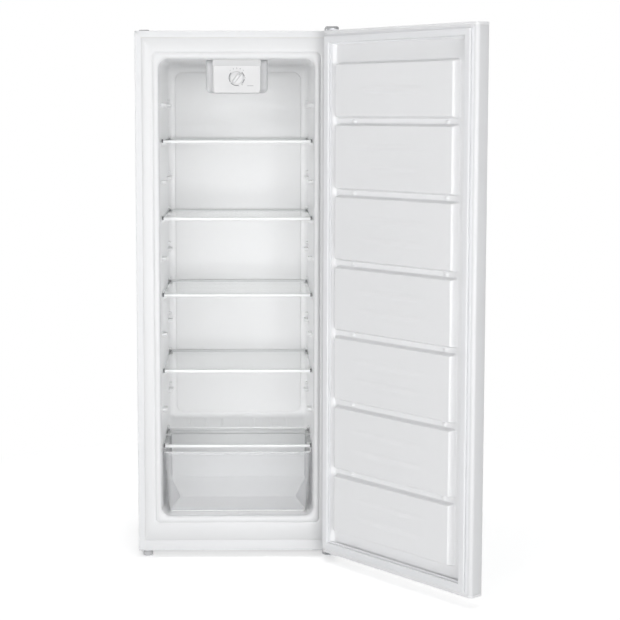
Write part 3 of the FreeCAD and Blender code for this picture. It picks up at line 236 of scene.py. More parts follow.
@dataclass(frozen=True)
class PaintedSteel:
    """Sprayed or powder-coated sheet with a faint orange peel."""

    name: str
    colour: Colour
    roughness: float = 0.34
    peel: float = 420.0
    peel_depth: float = 0.00006
    variation: float = 0.03

    def build(self) -> bpy.types.Material:
        """Make the material.

        Returns:
            The finished material.
        """
        s = Shading(self.name + "_finish")
        drift = s.noise(5.0, 3.0)
        peel = s.noise(self.peel, 1.0)
        wave = s.bump(s.noise(11.0, 1.0), self.peel_depth * 6)
        body = s.add(
            "BsdfPrincipled",
            Base_Color=s.tint(drift, shifted(self.colour, 1 - self.variation), self.colour),
            Roughness=s.ramp(s.noise(60.0, 3.0), self.roughness - 0.04, self.roughness + 0.06),
            Normal=s.bump(peel, self.peel_depth, wave),
            Coat_Weight=0.06,
            Coat_Roughness=0.3,
        )
        return s.close(body)


@dataclass(frozen=True)
class MouldedPlastic:
    """Formed or injection-moulded plastic with a fine grain and soft waves."""

    name: str
    colour: Colour
    roughness: float = 0.36
    grain: float = 1500.0
    grain_depth: float = 0.00002
    wave_depth: float = 0.0003
    variation: float = 0.025
    bleed: float = 0.0

    def build(self) -> bpy.types.Material:
        """Make the material.

        Returns:
            The finished material.
        """
        s = Shading(self.name + "_finish")
        drift = s.noise(7.0, 2.0)
        waves = s.bump(s.noise(9.0, 1.0), self.wave_depth)
        grain = s.bump(s.noise(self.grain, 2.0), self.grain_depth, waves)
        body = s.add(
            "BsdfPrincipled",
            Base_Color=s.tint(drift, shifted(self.colour, 1 - self.variation), self.colour),
            Roughness=s.ramp(s.noise(45.0, 3.0), self.roughness - 0.05, self.roughness + 0.05),
            Normal=grain,
            Subsurface_Weight=self.bleed,
        )
        return s.close(body)


@dataclass(frozen=True)
class ClearSheet:
    """Glass or clear plastic that shows what is behind it."""

    name: str
    through: Colour
    face: Colour
    haze: float
    roughness: float = 0.06
    ior: float = 1.45
    ripple_depth: float = 0.00002
    glance: float = 0.55

    def build(self) -> bpy.types.Material:
        """Make the material.

        Returns:
            The finished material.
        """
        s = Shading(self.name + "_finish")
        relief = s.bump(s.noise(18.0, 2.0), self.ripple_depth)
        gloss = s.add(
            "BsdfPrincipled",
            Base_Color=s.tint(s.noise(30.0, 4.0), shifted(self.face, 0.97), self.face),
            Roughness=s.ramp(s.noise(150.0, 4.0), self.roughness * 0.7, self.roughness * 1.4),
            Normal=relief,
            IOR=self.ior,
        )
        facing = s.add("LayerWeight", Blend=0.5, Normal=relief).outputs["Facing"]
        steep = s.nodes.new("ShaderNodeMath")
        steep.operation = "POWER"
        s.links.new(facing, steep.inputs[0])
        steep.inputs[1].default_value = 5.0
        share = s.ramp(steep.outputs[0], self.haze, max(self.haze, self.glance), 0.0, 1.0)
        clear = s.add("BsdfTransparent", Color=(*self.through, 1.0))
        mix = s.add("MixShader", Fac=share)
        s.links.new(clear.outputs[0], mix.inputs[1])
        s.links.new(gloss.outputs[0], mix.inputs[2])
        return s.close(mix)


@dataclass(frozen=True)
class RolledMetal:
    """Bare or plated metal with a grain, and spangle where it is galvanised."""

    name: str
    colour: Colour
    roughness: float = 0.3
    spangle: float = 0.0
    brush: Sequence[float] = (1.0, 1.0, 1.0)
    tarnish: Colour | None = None

    def build(self) -> bpy.types.Material:
        """Make the material.

        Returns:
            The finished material.
        """
        s = Shading(self.name + "_finish")
        fine = s.noise(500.0, 3.0, self.brush)
        shade = s.tint(s.noise(24.0, 4.0), self.tarnish or shifted(self.colour, 0.86), self.colour)
        rough = s.ramp(fine, self.roughness - 0.06, self.roughness + 0.1)
        if self.spangle:
            cells = s.add("TexVoronoi", Vector=s.place, Scale=self.spangle).outputs["Color"]
            grey = s.add("RGBToBW", Color=cells).outputs["Val"]
            shade = s.tint(grey, shifted(self.colour, 0.78), shifted(self.colour, 1.08))
            rough = s.ramp(grey, self.roughness, self.roughness + 0.22, 0.0, 1.0)
        body = s.add(
            "BsdfPrincipled",
            Base_Color=shade,
            Metallic=1.0,
            Roughness=rough,
            Normal=s.bump(fine, 0.00002),
        )
        return s.close(body)


@dataclass(frozen=True)
class SoftRubber:
    """Matte rubber or flexible plastic with a powdery bloom."""

    name: str
    colour: Colour
    roughness: float = 0.6
    bloom: float = 0.12

    def build(self) -> bpy.types.Material:
        """Make the material.

        Returns:
            The finished material.
        """
        s = Shading(self.name + "_finish")
        dust = s.noise(35.0, 5.0)
        body = s.add(
            "BsdfPrincipled",
            Base_Color=s.tint(dust, self.colour, shifted(self.colour, 1 + self.bloom)),
            Roughness=s.ramp(dust, self.roughness - 0.08, self.roughness + 0.12),
            Normal=s.bump(s.noise(1200.0, 2.0), 0.00004),
            Sheen_Weight=0.08,
        )
        return s.close(body)


@dataclass(frozen=True)
class RigidFoam:
    """Poured insulation with open cells and a darker skin."""

    name: str
    colour: Colour

    def build(self) -> bpy.types.Material:
        """Make the material.

        Returns:
            The finished material.
        """
        s = Shading(self.name + "_finish")
        cells = s.add("TexVoronoi", Vector=s.place, Scale=420.0).outputs["Distance"]
        body = s.add(
            "BsdfPrincipled",
            Base_Color=s.tint(s.noise(14.0, 5.0), shifted(self.colour, 0.82), self.colour),
            Roughness=0.9,
            Normal=s.bump(cells, 0.0006),
        )
        return s.close(body)


class Finish(Enum):
    """Every finish on the freezer."""

    STEEL_WHITE = PaintedSteel("white_painted_steel", (0.71, 0.715, 0.725), 0.42)
    STEEL_BLACK = PaintedSteel("black_painted_steel", (0.018, 0.018, 0.02), 0.3, 300.0, 0.00012, 0.2)
    STEEL_TUBE = PaintedSteel("condenser_steel_tube", (0.05, 0.05, 0.055), 0.4, 500.0, 0.00006, 0.2)
    # The cavity's liner plastic is set lighter than the door liner: painted light for the dimmer cavity. The rim copy
    # below is darkened: painted shade against the strong front light on the flange and bead
    LINER = MouldedPlastic("white_liner_plastic", (0.93, 0.932, 0.936), 0.34)
    LINER_RIM = MouldedPlastic("liner_rim_shaded_plastic", (0.72, 0.723, 0.73), 0.36)
    DOOR_LINER = MouldedPlastic("door_liner_plastic", (0.80, 0.803, 0.812), 0.42)
    TRIM_WHITE = MouldedPlastic("white_moulded_plastic", (0.80, 0.80, 0.81), 0.38, 1800.0, 0.00003, 0.0001)
    # The white moulded plastic darkened for the case and knob: painted shade that offsets the stronger light the
    # housing catches
    CASE_WHITE = MouldedPlastic("thermostat_case_shaded_plastic", (0.66, 0.66, 0.665), 0.38, 1800.0, 0.00003, 0.0001)
    # Darker copy of the case plastic for the rear body: painted shade for the soft shadow beside the housing
    CASE_SHADE = MouldedPlastic("thermostat_body_painted_shade", (0.57, 0.575, 0.585), 0.45, 1500.0, 0.00003, 0.0001)
    TRIM_GREY = MouldedPlastic("grey_plastic", (0.42, 0.425, 0.43), 0.5, 1200.0, 0.00004, 0.0001, 0.08)
    FOOT_PLASTIC = MouldedPlastic("foot_plastic", (0.62, 0.62, 0.63), 0.5, 1200.0, 0.00004, 0.0001, 0.06)
    CLIP_GREY = MouldedPlastic("rear_clip_plastic", (0.40, 0.405, 0.41), 0.4, 1200.0, 0.00003, 0.0001, 0.1)
    CLIP_DARK = MouldedPlastic("clip_plastic", (0.11, 0.115, 0.12), 0.4, 1200.0, 0.00003, 0.0001, 0.1)
    # Dark grey for print and the knob's pointer, and for the painted shadow arcs round the knob
    MARK_GREY = MouldedPlastic("mark_print_and_gap_shadow", (0.15, 0.155, 0.165), 0.55, 1200.0, 0.00001, 0.00005, 0.05)
    BLACK_PLASTIC = MouldedPlastic("black_plastic", (0.02, 0.02, 0.022), 0.5, 900.0, 0.00005, 0.0002, 0.15)
    GLASS = ClearSheet("shelf_glass", (0.994, 0.997, 0.996), (0.88, 0.895, 0.892), 0.015, 0.04, 1.5, 0.00001, 0.2)
    GLASS_EDGE = ClearSheet("shelf_glass_edge", (0.95, 0.96, 0.957), (0.86, 0.87, 0.868), 0.08, 0.12, 1.5, 0.00001, 0.2)
    GLASS_SIDE = ClearSheet("shelf_glass_side", (0.66, 0.70, 0.70), (0.30, 0.33, 0.33), 0.55, 0.12, 1.5, 0.00002, 0.6)
    TRIM_CLEAR = ClearSheet(
        "clear_trim_plastic", (0.95, 0.955, 0.96), (0.92, 0.925, 0.93), 0.88, 0.16, 1.49, 0.000005, 0.95
    )
    TRIM_REAR = ClearSheet(
        "rear_trim_plastic", (0.96, 0.962, 0.966), (0.84, 0.845, 0.85), 0.96, 0.2, 1.49, 0.000005, 0.97
    )
    DRAWER_CLEAR = ClearSheet(
        "clear_drawer_plastic", (0.992, 0.993, 0.996), (0.80, 0.805, 0.815), 0.26, 0.14, 1.49, 0.00002, 0.36
    )
    DRAWER_FROST = ClearSheet(
        "frosted_drawer_plastic", (0.99, 0.992, 0.996), (0.93, 0.933, 0.938), 0.9, 0.3, 1.49, 0.00006, 0.92
    )
    DRAWER_EDGE = ClearSheet(
        "clear_drawer_edge", (0.95, 0.953, 0.957), (0.86, 0.865, 0.872), 0.75, 0.14, 1.49, 0.000005, 0.85
    )
    SPANGLE = RolledMetal("galvanised_steel", (0.56, 0.57, 0.58), 0.36, 130.0)
    ZINC = RolledMetal("zinc_steel", (0.55, 0.56, 0.58), 0.32)
    ALU_SHEET = RolledMetal("aluminium_sheet", (0.78, 0.78, 0.79), 0.34, 0.0, (1.0, 1.0, 12.0))
    ALU_TUBE = RolledMetal("aluminium_tube", (0.76, 0.76, 0.77), 0.3)
    COPPER = RolledMetal("copper_tube", (0.78, 0.36, 0.22), 0.28, 0.0, (1.0, 1.0, 1.0), (0.42, 0.17, 0.10))
    IRON = RolledMetal("pump_iron", (0.24, 0.24, 0.245), 0.55)
    SEAL = SoftRubber("seal_rubber", (0.74, 0.745, 0.76), 0.52, 0.04)
    MAGNET = SoftRubber("magnet_strip", (0.03, 0.028, 0.026))
    RUBBER = SoftRubber("black_rubber", (0.022, 0.022, 0.022))
    FOAM = RigidFoam("insulation_foam", (0.86, 0.80, 0.62))

    @property
    def material(self) -> bpy.types.Material:
        """The finish's material, made when first asked for."""
        return bpy.data.materials.get(self.value.name + "_finish") or self.value.build()


# ---------------------------------------------------------------------------
# Shapes
# ---------------------------------------------------------------------------
def softened(corners: Sequence[Point2], radii: Sequence[float], steps: int = 5, closed: bool = True) -> list[Point2]:
    """Round the corners of an outline.

    Args:
        corners: The outline's corners.
        radii: One radius for each corner. A zero keeps the corner sharp.
        steps: Straight pieces in each round corner.
        closed: Whether the outline closes. An open one keeps its two ends.

    Returns:
        The rounded outline.
    """
    count = len(corners)
    outline: list[Point2] = []
    for number, (corner, radius) in enumerate(zip(corners, radii)):
        if radius <= 0 or (not closed and number in (0, count - 1)):
            outline.append(corner)
            continue
        here = Vector(corner)
        before = (Vector(corners[number - 1]) - here).normalized()
        after = (Vector(corners[(number + 1) % count]) - here).normalized()
        half = before.angle(after) / 2
        centre = here + (before + after).normalized() * (radius / math.sin(half))
        first = here + before * (radius / math.tan(half)) - centre
        last = here + after * (radius / math.tan(half)) - centre
        turn = first.angle_signed(last)
        for step in range(steps + 1):
            angle = -turn * step / steps
            spin = Matrix.Rotation(angle, 2)
            spot = centre + spin @ first
            outline.append((spot.x, spot.y))
    return outline


def beside(path: Sequence[Point2], distance: float) -> list[Point2]:
    """An open path moved sideways, to the left of its direction.

    Args:
        path: The path's points.
        distance: How far to move it.

    Returns:
        The moved path.
    """
    moved: list[Point2] = []
    for number, point in enumerate(path):
        here = Vector(point)
        back = (here - Vector(path[number - 1])).normalized() if number else None
        ahead = (Vector(path[number + 1]) - here).normalized() if number < len(path) - 1 else None
        lead = back if ahead is None else ahead
        tail = lead if back is None else back
        along = (lead + tail).normalized()
        side = Vector((-along.y, along.x))
        reach = distance / max(0.3, side.dot(Vector((-lead.y, lead.x))))
        moved.append(tuple(here + side * reach))
    return moved


def folded(path: Sequence[Point2], thickness: float) -> list[Point2]:
    """The closed outline of sheet metal that follows a path, with its thickness on the left."""
    return list(path) + list(reversed(beside(path, thickness)))


class Shape:
    """A mesh while it is being put together, in metres in the row frame."""

    def __init__(self) -> None:
        """Start with no faces."""
        self.mesh = bmesh.new()
        self.finishes: list[Finish] = []

    def slot_of(self, finish: Finish) -> int:
        """The number of a finish's slot, which is added when it is new."""
        if finish not in self.finishes:
            self.finishes.append(finish)
        return self.finishes.index(finish)

    def loft(
        self, rings: Sequence[Sequence[Vector]], finish: Finish, ends: bool = True, round_trip: bool = False
    ) -> None:
        """Join closed rings of equal length into a skin.

        Args:
            rings: The rings, in order.
            finish: What covers the skin.
            ends: Whether the first and last rings are closed by a face.
            round_trip: Whether the last ring joins the first.
        """
        slot = self.slot_of(finish)
        rows = [[self.mesh.verts.new(point) for point in ring] for ring in rings]
        count = len(rows[0])
        pairs = list(zip(rows, rows[1:])) + ([(rows[-1], rows[0])] if round_trip else [])
        for low, high in pairs:
            for n in range(count):
                after = (n + 1) % count
                self.mesh.faces.new((low[n], low[after], high[after], high[n])).material_index = slot
        if ends and not round_trip:
            self.mesh.faces.new(rows[0]).material_index = slot
            self.mesh.faces.new(rows[-1]).material_index = slot

    def prism(
        self, outline: Sequence[Point2], axis: Axis, low: float, high: float, finish: Finish, soft: float = 0.0
    ) -> None:
        """Draw an outline out along an axis.

        Args:
            outline: Points in the plane across the axis: (y, z), (x, z) or (x, y).
            axis: The axis that it is drawn out along.
            low: Where it starts.
            high: Where it ends.
            finish: What covers it.
            soft: How far both end faces are eased.
        """

        def at(point: Point2, along: float) -> Vector:
            """Set a point of the outline at one place along the axis.

            Args:
                point: The point in the outline's plane.
                along: Where it lies along the axis.

            Returns:
                The point in the room.
            """
            spot = list(point)
            spot.insert(axis.value, along)
            return Vector(spot)

        if not soft:
            self.loft([[at(p, low) for p in outline], [at(p, high) for p in outline]], finish)
            return
        middle = Vector((sum(p[0] for p in outline), sum(p[1] for p in outline))) / len(outline)
        span = max((Vector(p) - middle).length for p in outline)
        small = [tuple(middle + (Vector(p) - middle) * (1 - soft / span)) for p in outline]
        self.loft(
            [
                [at(p, low) for p in small],
                [at(p, low + soft) for p in outline],
                [at(p, high - soft) for p in outline],
                [at(p, high) for p in small],
            ],
            finish,
        )

    def block(
        self, low: Sequence[float], high: Sequence[float], finish: Finish, soft: float = 0.0, steps: int = 2
    ) -> None:
        """A box with eased edges.

        Args:
            low: Its lowest corner.
            high: Its highest corner.
            finish: What covers it.
            soft: The radius of its edges.
            steps: Faces round each edge.
        """
        slot = self.slot_of(finish)
        part = bmesh.new()
        bmesh.ops.create_cube(part, size=1.0)
        centre = (Vector(low) + Vector(high)) / 2
        size = Vector(high) - Vector(low)
        for vert in part.verts:
            vert.co = centre + Vector(a * b for a, b in zip(vert.co, size))
        if soft:
            bmesh.ops.bevel(part, geom=part.edges[:], offset=soft, segments=steps, profile=0.5, affect="EDGES")
        for face in part.faces:
            face.material_index = slot
        self.take(part)

    def turned(
        self, outline: Sequence[Point2], at: Vector, finish: Finish, steps: int = 40, axis: Axis = Axis.Z
    ) -> None:
        """Spin an outline of radius and height about an axis.

        Args:
            outline: Points of radius and height, from one end of the axis to the other.
            at: The foot of the axis.
            finish: What covers it.
            steps: Faces round the axis.
            axis: The axis that it is spun about.
        """
        rings = []
        for radius, height in outline:
            ring = []
            for step in range(steps):
                angle = 2 * math.pi * step / steps
                flat = [max(radius, THIN) * math.cos(angle), max(radius, THIN) * math.sin(angle)]
                flat.insert(axis.value, height)
                ring.append(at + Vector(flat))
            rings.append(ring)
        self.loft(rings, finish)

    def sheet(self, front: Sequence[Sequence[Vector]], rear: Sequence[Sequence[Vector]], finish: Finish) -> None:
        """Join two grids of points into a thin sheet with closed rims.

        Args:
            front: The rows of one side.
            rear: The rows of the other side, as many and as long.
            finish: What covers it.
        """
        slot = self.slot_of(finish)
        skins = [[[self.mesh.verts.new(point) for point in row] for row in grid] for grid in (front, rear)]
        for layer, grid in enumerate(skins):
            for low, high in zip(grid, grid[1:]):
                for n in range(len(low) - 1):
                    quad = (low[n], low[n + 1], high[n + 1], high[n])
                    self.mesh.faces.new(quad if layer else quad[::-1]).material_index = slot
        rims = [
            grid[0] + [row[-1] for row in grid[1:-1]] + grid[-1][::-1] + [row[0] for row in grid[-2:0:-1]]
            for grid in skins
        ]
        for n in range(len(rims[0])):
            after = (n + 1) % len(rims[0])
            quad = (rims[0][n], rims[0][after], rims[1][after], rims[1][n])
            self.mesh.faces.new(quad).material_index = slot

    def stack(
        self,
        middle: Point2,
        half: Point2,
        steps: Sequence[Point2],
        rounding: Callable[[float], float],
        finish: Finish,
        smooth: int,
    ) -> None:
        """Lay rectangles with round corners over each other.

        Args:
            middle: The rectangles' centre.
            half: Half of their sides.
            steps: How far each one is let in, with its height.
            rounding: The corner radius for each inset.
            finish: What covers them.
            smooth: Straight pieces in each round corner.
        """
        rings = []
        for inset, height in steps:
            corners = [(middle[0] + a * (half[0] - inset), middle[1] + b * (half[1] - inset)) for a, b in CORNERS]
            ring = softened(corners, [rounding(inset)] * 4, smooth)
            rings.append([Vector((x, y, height)) for x, y in ring])
        self.loft(rings, finish)

    def take(self, part: bmesh.types.BMesh) -> None:
        """Add a finished part and free it.

        Args:
            part: The part, whose faces carry this shape's slots.
        """
        spare = bpy.data.meshes.new("part")
        part.to_mesh(spare)
        part.free()
        self.mesh.from_mesh(spare)
        bpy.data.meshes.remove(spare)

    def shade(self, smooth: float) -> None:
        """Turn the faces outwards and keep the sharp edges sharp.

        Args:
            smooth: Edges flatter than this angle, in degrees, are shaded smooth.
        """
        bmesh.ops.recalc_face_normals(self.mesh, faces=self.mesh.faces)
        for face in self.mesh.faces:
            face.smooth = True
        for edge in self.mesh.edges:
            if len(edge.link_faces) == 2:
                edge.smooth = edge.calc_face_angle(0.0) < math.radians(smooth)

    def finish(
        self,
        name: str,
        body: Body | str,
        slot: str,
        replaces: Sequence[str] = (),
        turn: Matrix | None = None,
        smooth: float = SMOOTH,
        merge: float = MERGE,
    ) -> bpy.types.Object:
        """Make the object and tell the frame about it.

        Args:
            name: The piece's name.
            body: The body that it rides on.
            slot: The record's material slot; not used.
            replaces: The CAD nodes that it stands for.
            turn: A transform that goes into the mesh.
            smooth: Edges flatter than this angle, in degrees, are shaded smooth.
            merge: Points closer than this are joined.

        Returns:
            The object.
        """
        if turn is not None:
            bmesh.ops.transform(self.mesh, matrix=turn, verts=self.mesh.verts)
        if merge:
            bmesh.ops.remove_doubles(self.mesh, verts=self.mesh.verts, dist=merge)
        self.shade(smooth)
        data = bpy.data.meshes.new(name)
        self.mesh.to_mesh(data)
        self.mesh.free()
        for finish in self.finishes:
            data.materials.append(finish.material)
        piece = bpy.data.objects.new(name, data)
        bpy.context.scene.collection.objects.link(piece)
        return settle(piece, body, replaces)


def settle(piece: bpy.types.Object, body: Body | str, replaces: Sequence[str] = ()) -> bpy.types.Object:
    """Tell the frame what a piece rides on and stands for.

    Args:
        piece: The finished object.
        body: The body that it rides on.
        replaces: The CAD nodes that it stands for.

    Returns:
        The same object.
    """
    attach(piece, body.value if isinstance(body, Body) else body)
    if replaces:
        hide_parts(*replaces)
    log.info("%s: %d faces", piece.name, len(piece.data.polygons))
    return piece


def ruled(low: float, high: float, zones: Iterable[Point2], fine: float, coarse: float) -> np.ndarray:
    """Grid lines that lie close together where a surface bends.

    Args:
        low: The first line.
        high: The last line.
        zones: Spans that need close lines.
        fine: The spacing inside a zone.
        coarse: The spacing elsewhere.

    Returns:
        The lines, in order.
    """
    marks = {round(low, 6), round(high, 6)}
    for start, end in zones:
        start, end = max(low, start), min(high, end)
        if end > start:
            count = max(1, int(round((end - start) / fine)))
            marks.update(round(start + (end - start) * n / count, 6) for n in range(count + 1))
    lines = sorted(marks)
    filled = [lines[0]]
    for line in lines[1:]:
        gap = line - filled[-1]
        if gap < fine * 0.3 and line != lines[-1]:
            continue
        extra = int(gap / coarse)
        base = filled[-1]
        filled += [base + gap * n / (extra + 1) for n in range(1, extra + 1)]
        filled.append(line)
    return np.array(filled)


def eased(value: np.ndarray) -> np.ndarray:
    """A smooth step from 0 to 1."""
    value = np.clip(value, 0.0, 1.0)
    return value * value * (3 - 2 * value)


def inside(u: np.ndarray, z: np.ndarray, low: Point2, high: Point2, radius: float) -> np.ndarray:
    """How far each spot lies inside a rectangle with round corners.

    Args:
        u: Places across the rectangle.
        z: Places up it.
        low: Its lowest corner.
        high: Its highest corner.
        radius: How round its corners are.

    Returns:
        The distance to the outline, negative outside.
    """
    cu, cz = (low[0] + high[0]) / 2, (low[1] + high[1]) / 2
    hu, hz = (high[0] - low[0]) / 2 - radius, (high[1] - low[1]) / 2 - radius
    du, dz = np.abs(u - cu) - hu, np.abs(z - cz) - hz
    past = np.hypot(np.maximum(du, 0), np.maximum(dz, 0))
    return radius - past - np.minimum(np.maximum(du, dz), 0)


class Repeater:
    """A Geometry Nodes tree that repeats a part, along a line or round a ring."""

    def __init__(self, name: str, ring: bool) -> None:
        """Wire the tree.

        Args:
            name: The tree's name.
            ring: Whether the part goes round a ring.
        """
        self.tree = bpy.data.node_groups.new(name, "GeometryNodeTree")
        face = self.tree.interface
        face.new_socket("Geometry", in_out="OUTPUT", socket_type="NodeSocketGeometry")
        self.keys: dict[str, str] = {}
        rows = [("Part", "NodeSocketObject"), ("Count", "NodeSocketInt"), ("Start", "NodeSocketVector")]
        rows += [("Radius", "NodeSocketFloat")] if ring else [("Step", "NodeSocketVector")]
        rows += [("Finish", "NodeSocketMaterial")]
        for label, kind in rows:
            self.keys[label] = face.new_socket(label, in_out="INPUT", socket_type=kind).identifier
        nodes, links = self.tree.nodes, self.tree.links
        given = nodes.new("NodeGroupInput")
        result = nodes.new("NodeGroupOutput")
        part = nodes.new("GeometryNodeObjectInfo")
        links.new(given.outputs["Part"], part.inputs["Object"])
        copies = nodes.new("GeometryNodeInstanceOnPoints")
        links.new(part.outputs["Geometry"], copies.inputs["Instance"])
        if ring:
            line = nodes.new("GeometryNodeMeshCircle")
            links.new(given.outputs["Count"], line.inputs["Vertices"])
            links.new(given.outputs["Radius"], line.inputs["Radius"])
            number = nodes.new("GeometryNodeInputIndex")
            turn = nodes.new("ShaderNodeMath")
            turn.operation = "DIVIDE"
            links.new(number.outputs[0], turn.inputs[0])
            links.new(given.outputs["Count"], turn.inputs[1])
            angle = nodes.new("ShaderNodeMath")
            angle.operation = "MULTIPLY"
            angle.inputs[1].default_value = 2 * math.pi
            links.new(turn.outputs[0], angle.inputs[0])
            spin = nodes.new("ShaderNodeCombineXYZ")
            links.new(angle.outputs[0], spin.inputs["Z"])
            links.new(spin.outputs[0], copies.inputs["Rotation"])
            place = nodes.new("GeometryNodeTransform")
            links.new(given.outputs["Start"], place.inputs["Translation"])
            links.new(line.outputs["Mesh"], copies.inputs["Points"])
            links.new(copies.outputs["Instances"], place.inputs["Geometry"])
            spread = place.outputs["Geometry"]
        else:
            line = nodes.new("GeometryNodeMeshLine")
            links.new(given.outputs["Count"], line.inputs["Count"])
            links.new(given.outputs["Start"], line.inputs["Start Location"])
            links.new(given.outputs["Step"], line.inputs["Offset"])
            links.new(line.outputs["Mesh"], copies.inputs["Points"])
            spread = copies.outputs["Instances"]
        real = nodes.new("GeometryNodeRealizeInstances")
        links.new(spread, real.inputs[0])
        dress = nodes.new("GeometryNodeSetMaterial")
        links.new(real.outputs[0], dress.inputs["Geometry"])
        links.new(given.outputs["Finish"], dress.inputs["Material"])
        links.new(dress.outputs["Geometry"], result.inputs[0])

    def run(self, name: str, part: Shape, finish: Finish, **inputs: object) -> bpy.types.Mesh:
        """Repeat a part and give the plain mesh.

        Args:
            name: The mesh's name.
            part: The part, round its own origin.
            finish: What covers it.
            **inputs: Count, Start and Step or Radius.

        Returns:
            The mesh of all copies.
        """
        part.shade(SMOOTH)
        seed = bpy.data.meshes.new(name + "_part")
        part.mesh.to_mesh(seed)
        part.mesh.free()
        source = bpy.data.objects.new(name + "_part", seed)
        carrier = bpy.data.objects.new(name + "_carrier", bpy.data.meshes.new(name + "_carrier"))
        for item in (source, carrier):
            bpy.context.scene.collection.objects.link(item)
        repeat = carrier.modifiers.new("Repeat", "NODES")
        repeat.node_group = self.tree
        for label, value in {"Part": source, "Finish": finish.material, **inputs}.items():
            repeat[self.keys[label]] = value
        bpy.context.view_layer.update()
        ready = carrier.evaluated_get(bpy.context.evaluated_depsgraph_get())
        mesh = bpy.data.meshes.new_from_object(ready)
        carrier.modifiers.clear()
        for item in (source, carrier):
            bpy.data.objects.remove(item)
        mesh.name = name
        return mesh


def joined(name: str, meshes: Sequence[bpy.types.Mesh]) -> bpy.types.Object:
    """One object from several plain meshes that have the same finish.

    Args:
        name: The object's name.
        meshes: The meshes.

    Returns:
        The object, linked to the scene.
    """
    whole = bmesh.new()
    for mesh in meshes:
        whole.from_mesh(mesh)
    data = bpy.data.meshes.new(name)
    whole.to_mesh(data)
    whole.free()
    for material in meshes[0].materials:
        data.materials.append(material)
    piece = bpy.data.objects.new(name, data)
    bpy.context.scene.collection.objects.link(piece)
    return piece


@dataclass(frozen=True)
class Section:
    """A rectangle with round corners across the cabinet, at one depth."""

    half: float
    low: float
    high: float
    depth: float
    low_round: float
    high_round: float
    middle: float = 0.0

    def let_out(self, by: float, depth: float, corner: float | None = None) -> "Section":
        """The same rectangle, larger all round and at another depth.

        Args:
            by: How far each side moves out.
            depth: The new depth.
            corner: A radius for all four corners. Without it they grow with the sides.

        Returns:
            The new section.
        """
        low_round = max(2e-4, self.low_round + by) if corner is None else corner
        high_round = max(2e-4, self.high_round + by) if corner is None else corner
        return Section(self.half + by, self.low - by, self.high + by, depth, low_round, high_round, self.middle)

    def ring(self, steps: int = 8) -> list[Vector]:
        """The section as a ring of points.

        Args:
            steps: Straight pieces in each round corner.

        Returns:
            The points.
        """
        corners = [
            (self.middle - self.half, self.low),
            (self.middle + self.half, self.low),
            (self.middle + self.half, self.high),
            (self.middle - self.half, self.high),
        ]
        radii = [self.low_round, self.low_round, self.high_round, self.high_round]
        return [Vector((x, self.depth, z)) for x, z in softened(corners, radii, steps)]


def shoulder(section: Section, radius: float, back: float, front: float, steps: int = 5) -> list[list[Vector]]:
    """Rings of a raised panel whose front edge is round.

    Args:
        section: The panel's outline.
        radius: How round its front edge is.
        back: Where its sides start.
        front: Where its face lies.
        steps: Faces round the edge.

    Returns:
        The rings, from the back to the face.
    """
    rings = [section.let_out(0.0, back).ring()]
    for step in range(steps + 1):
        angle = math.pi / 2 * step / steps
        inset = radius * (1 - math.cos(angle))
        depth = front + math.copysign(radius * (1 - math.sin(angle)), back - front)
        rings.append(section.let_out(-inset, depth).ring())
    return rings


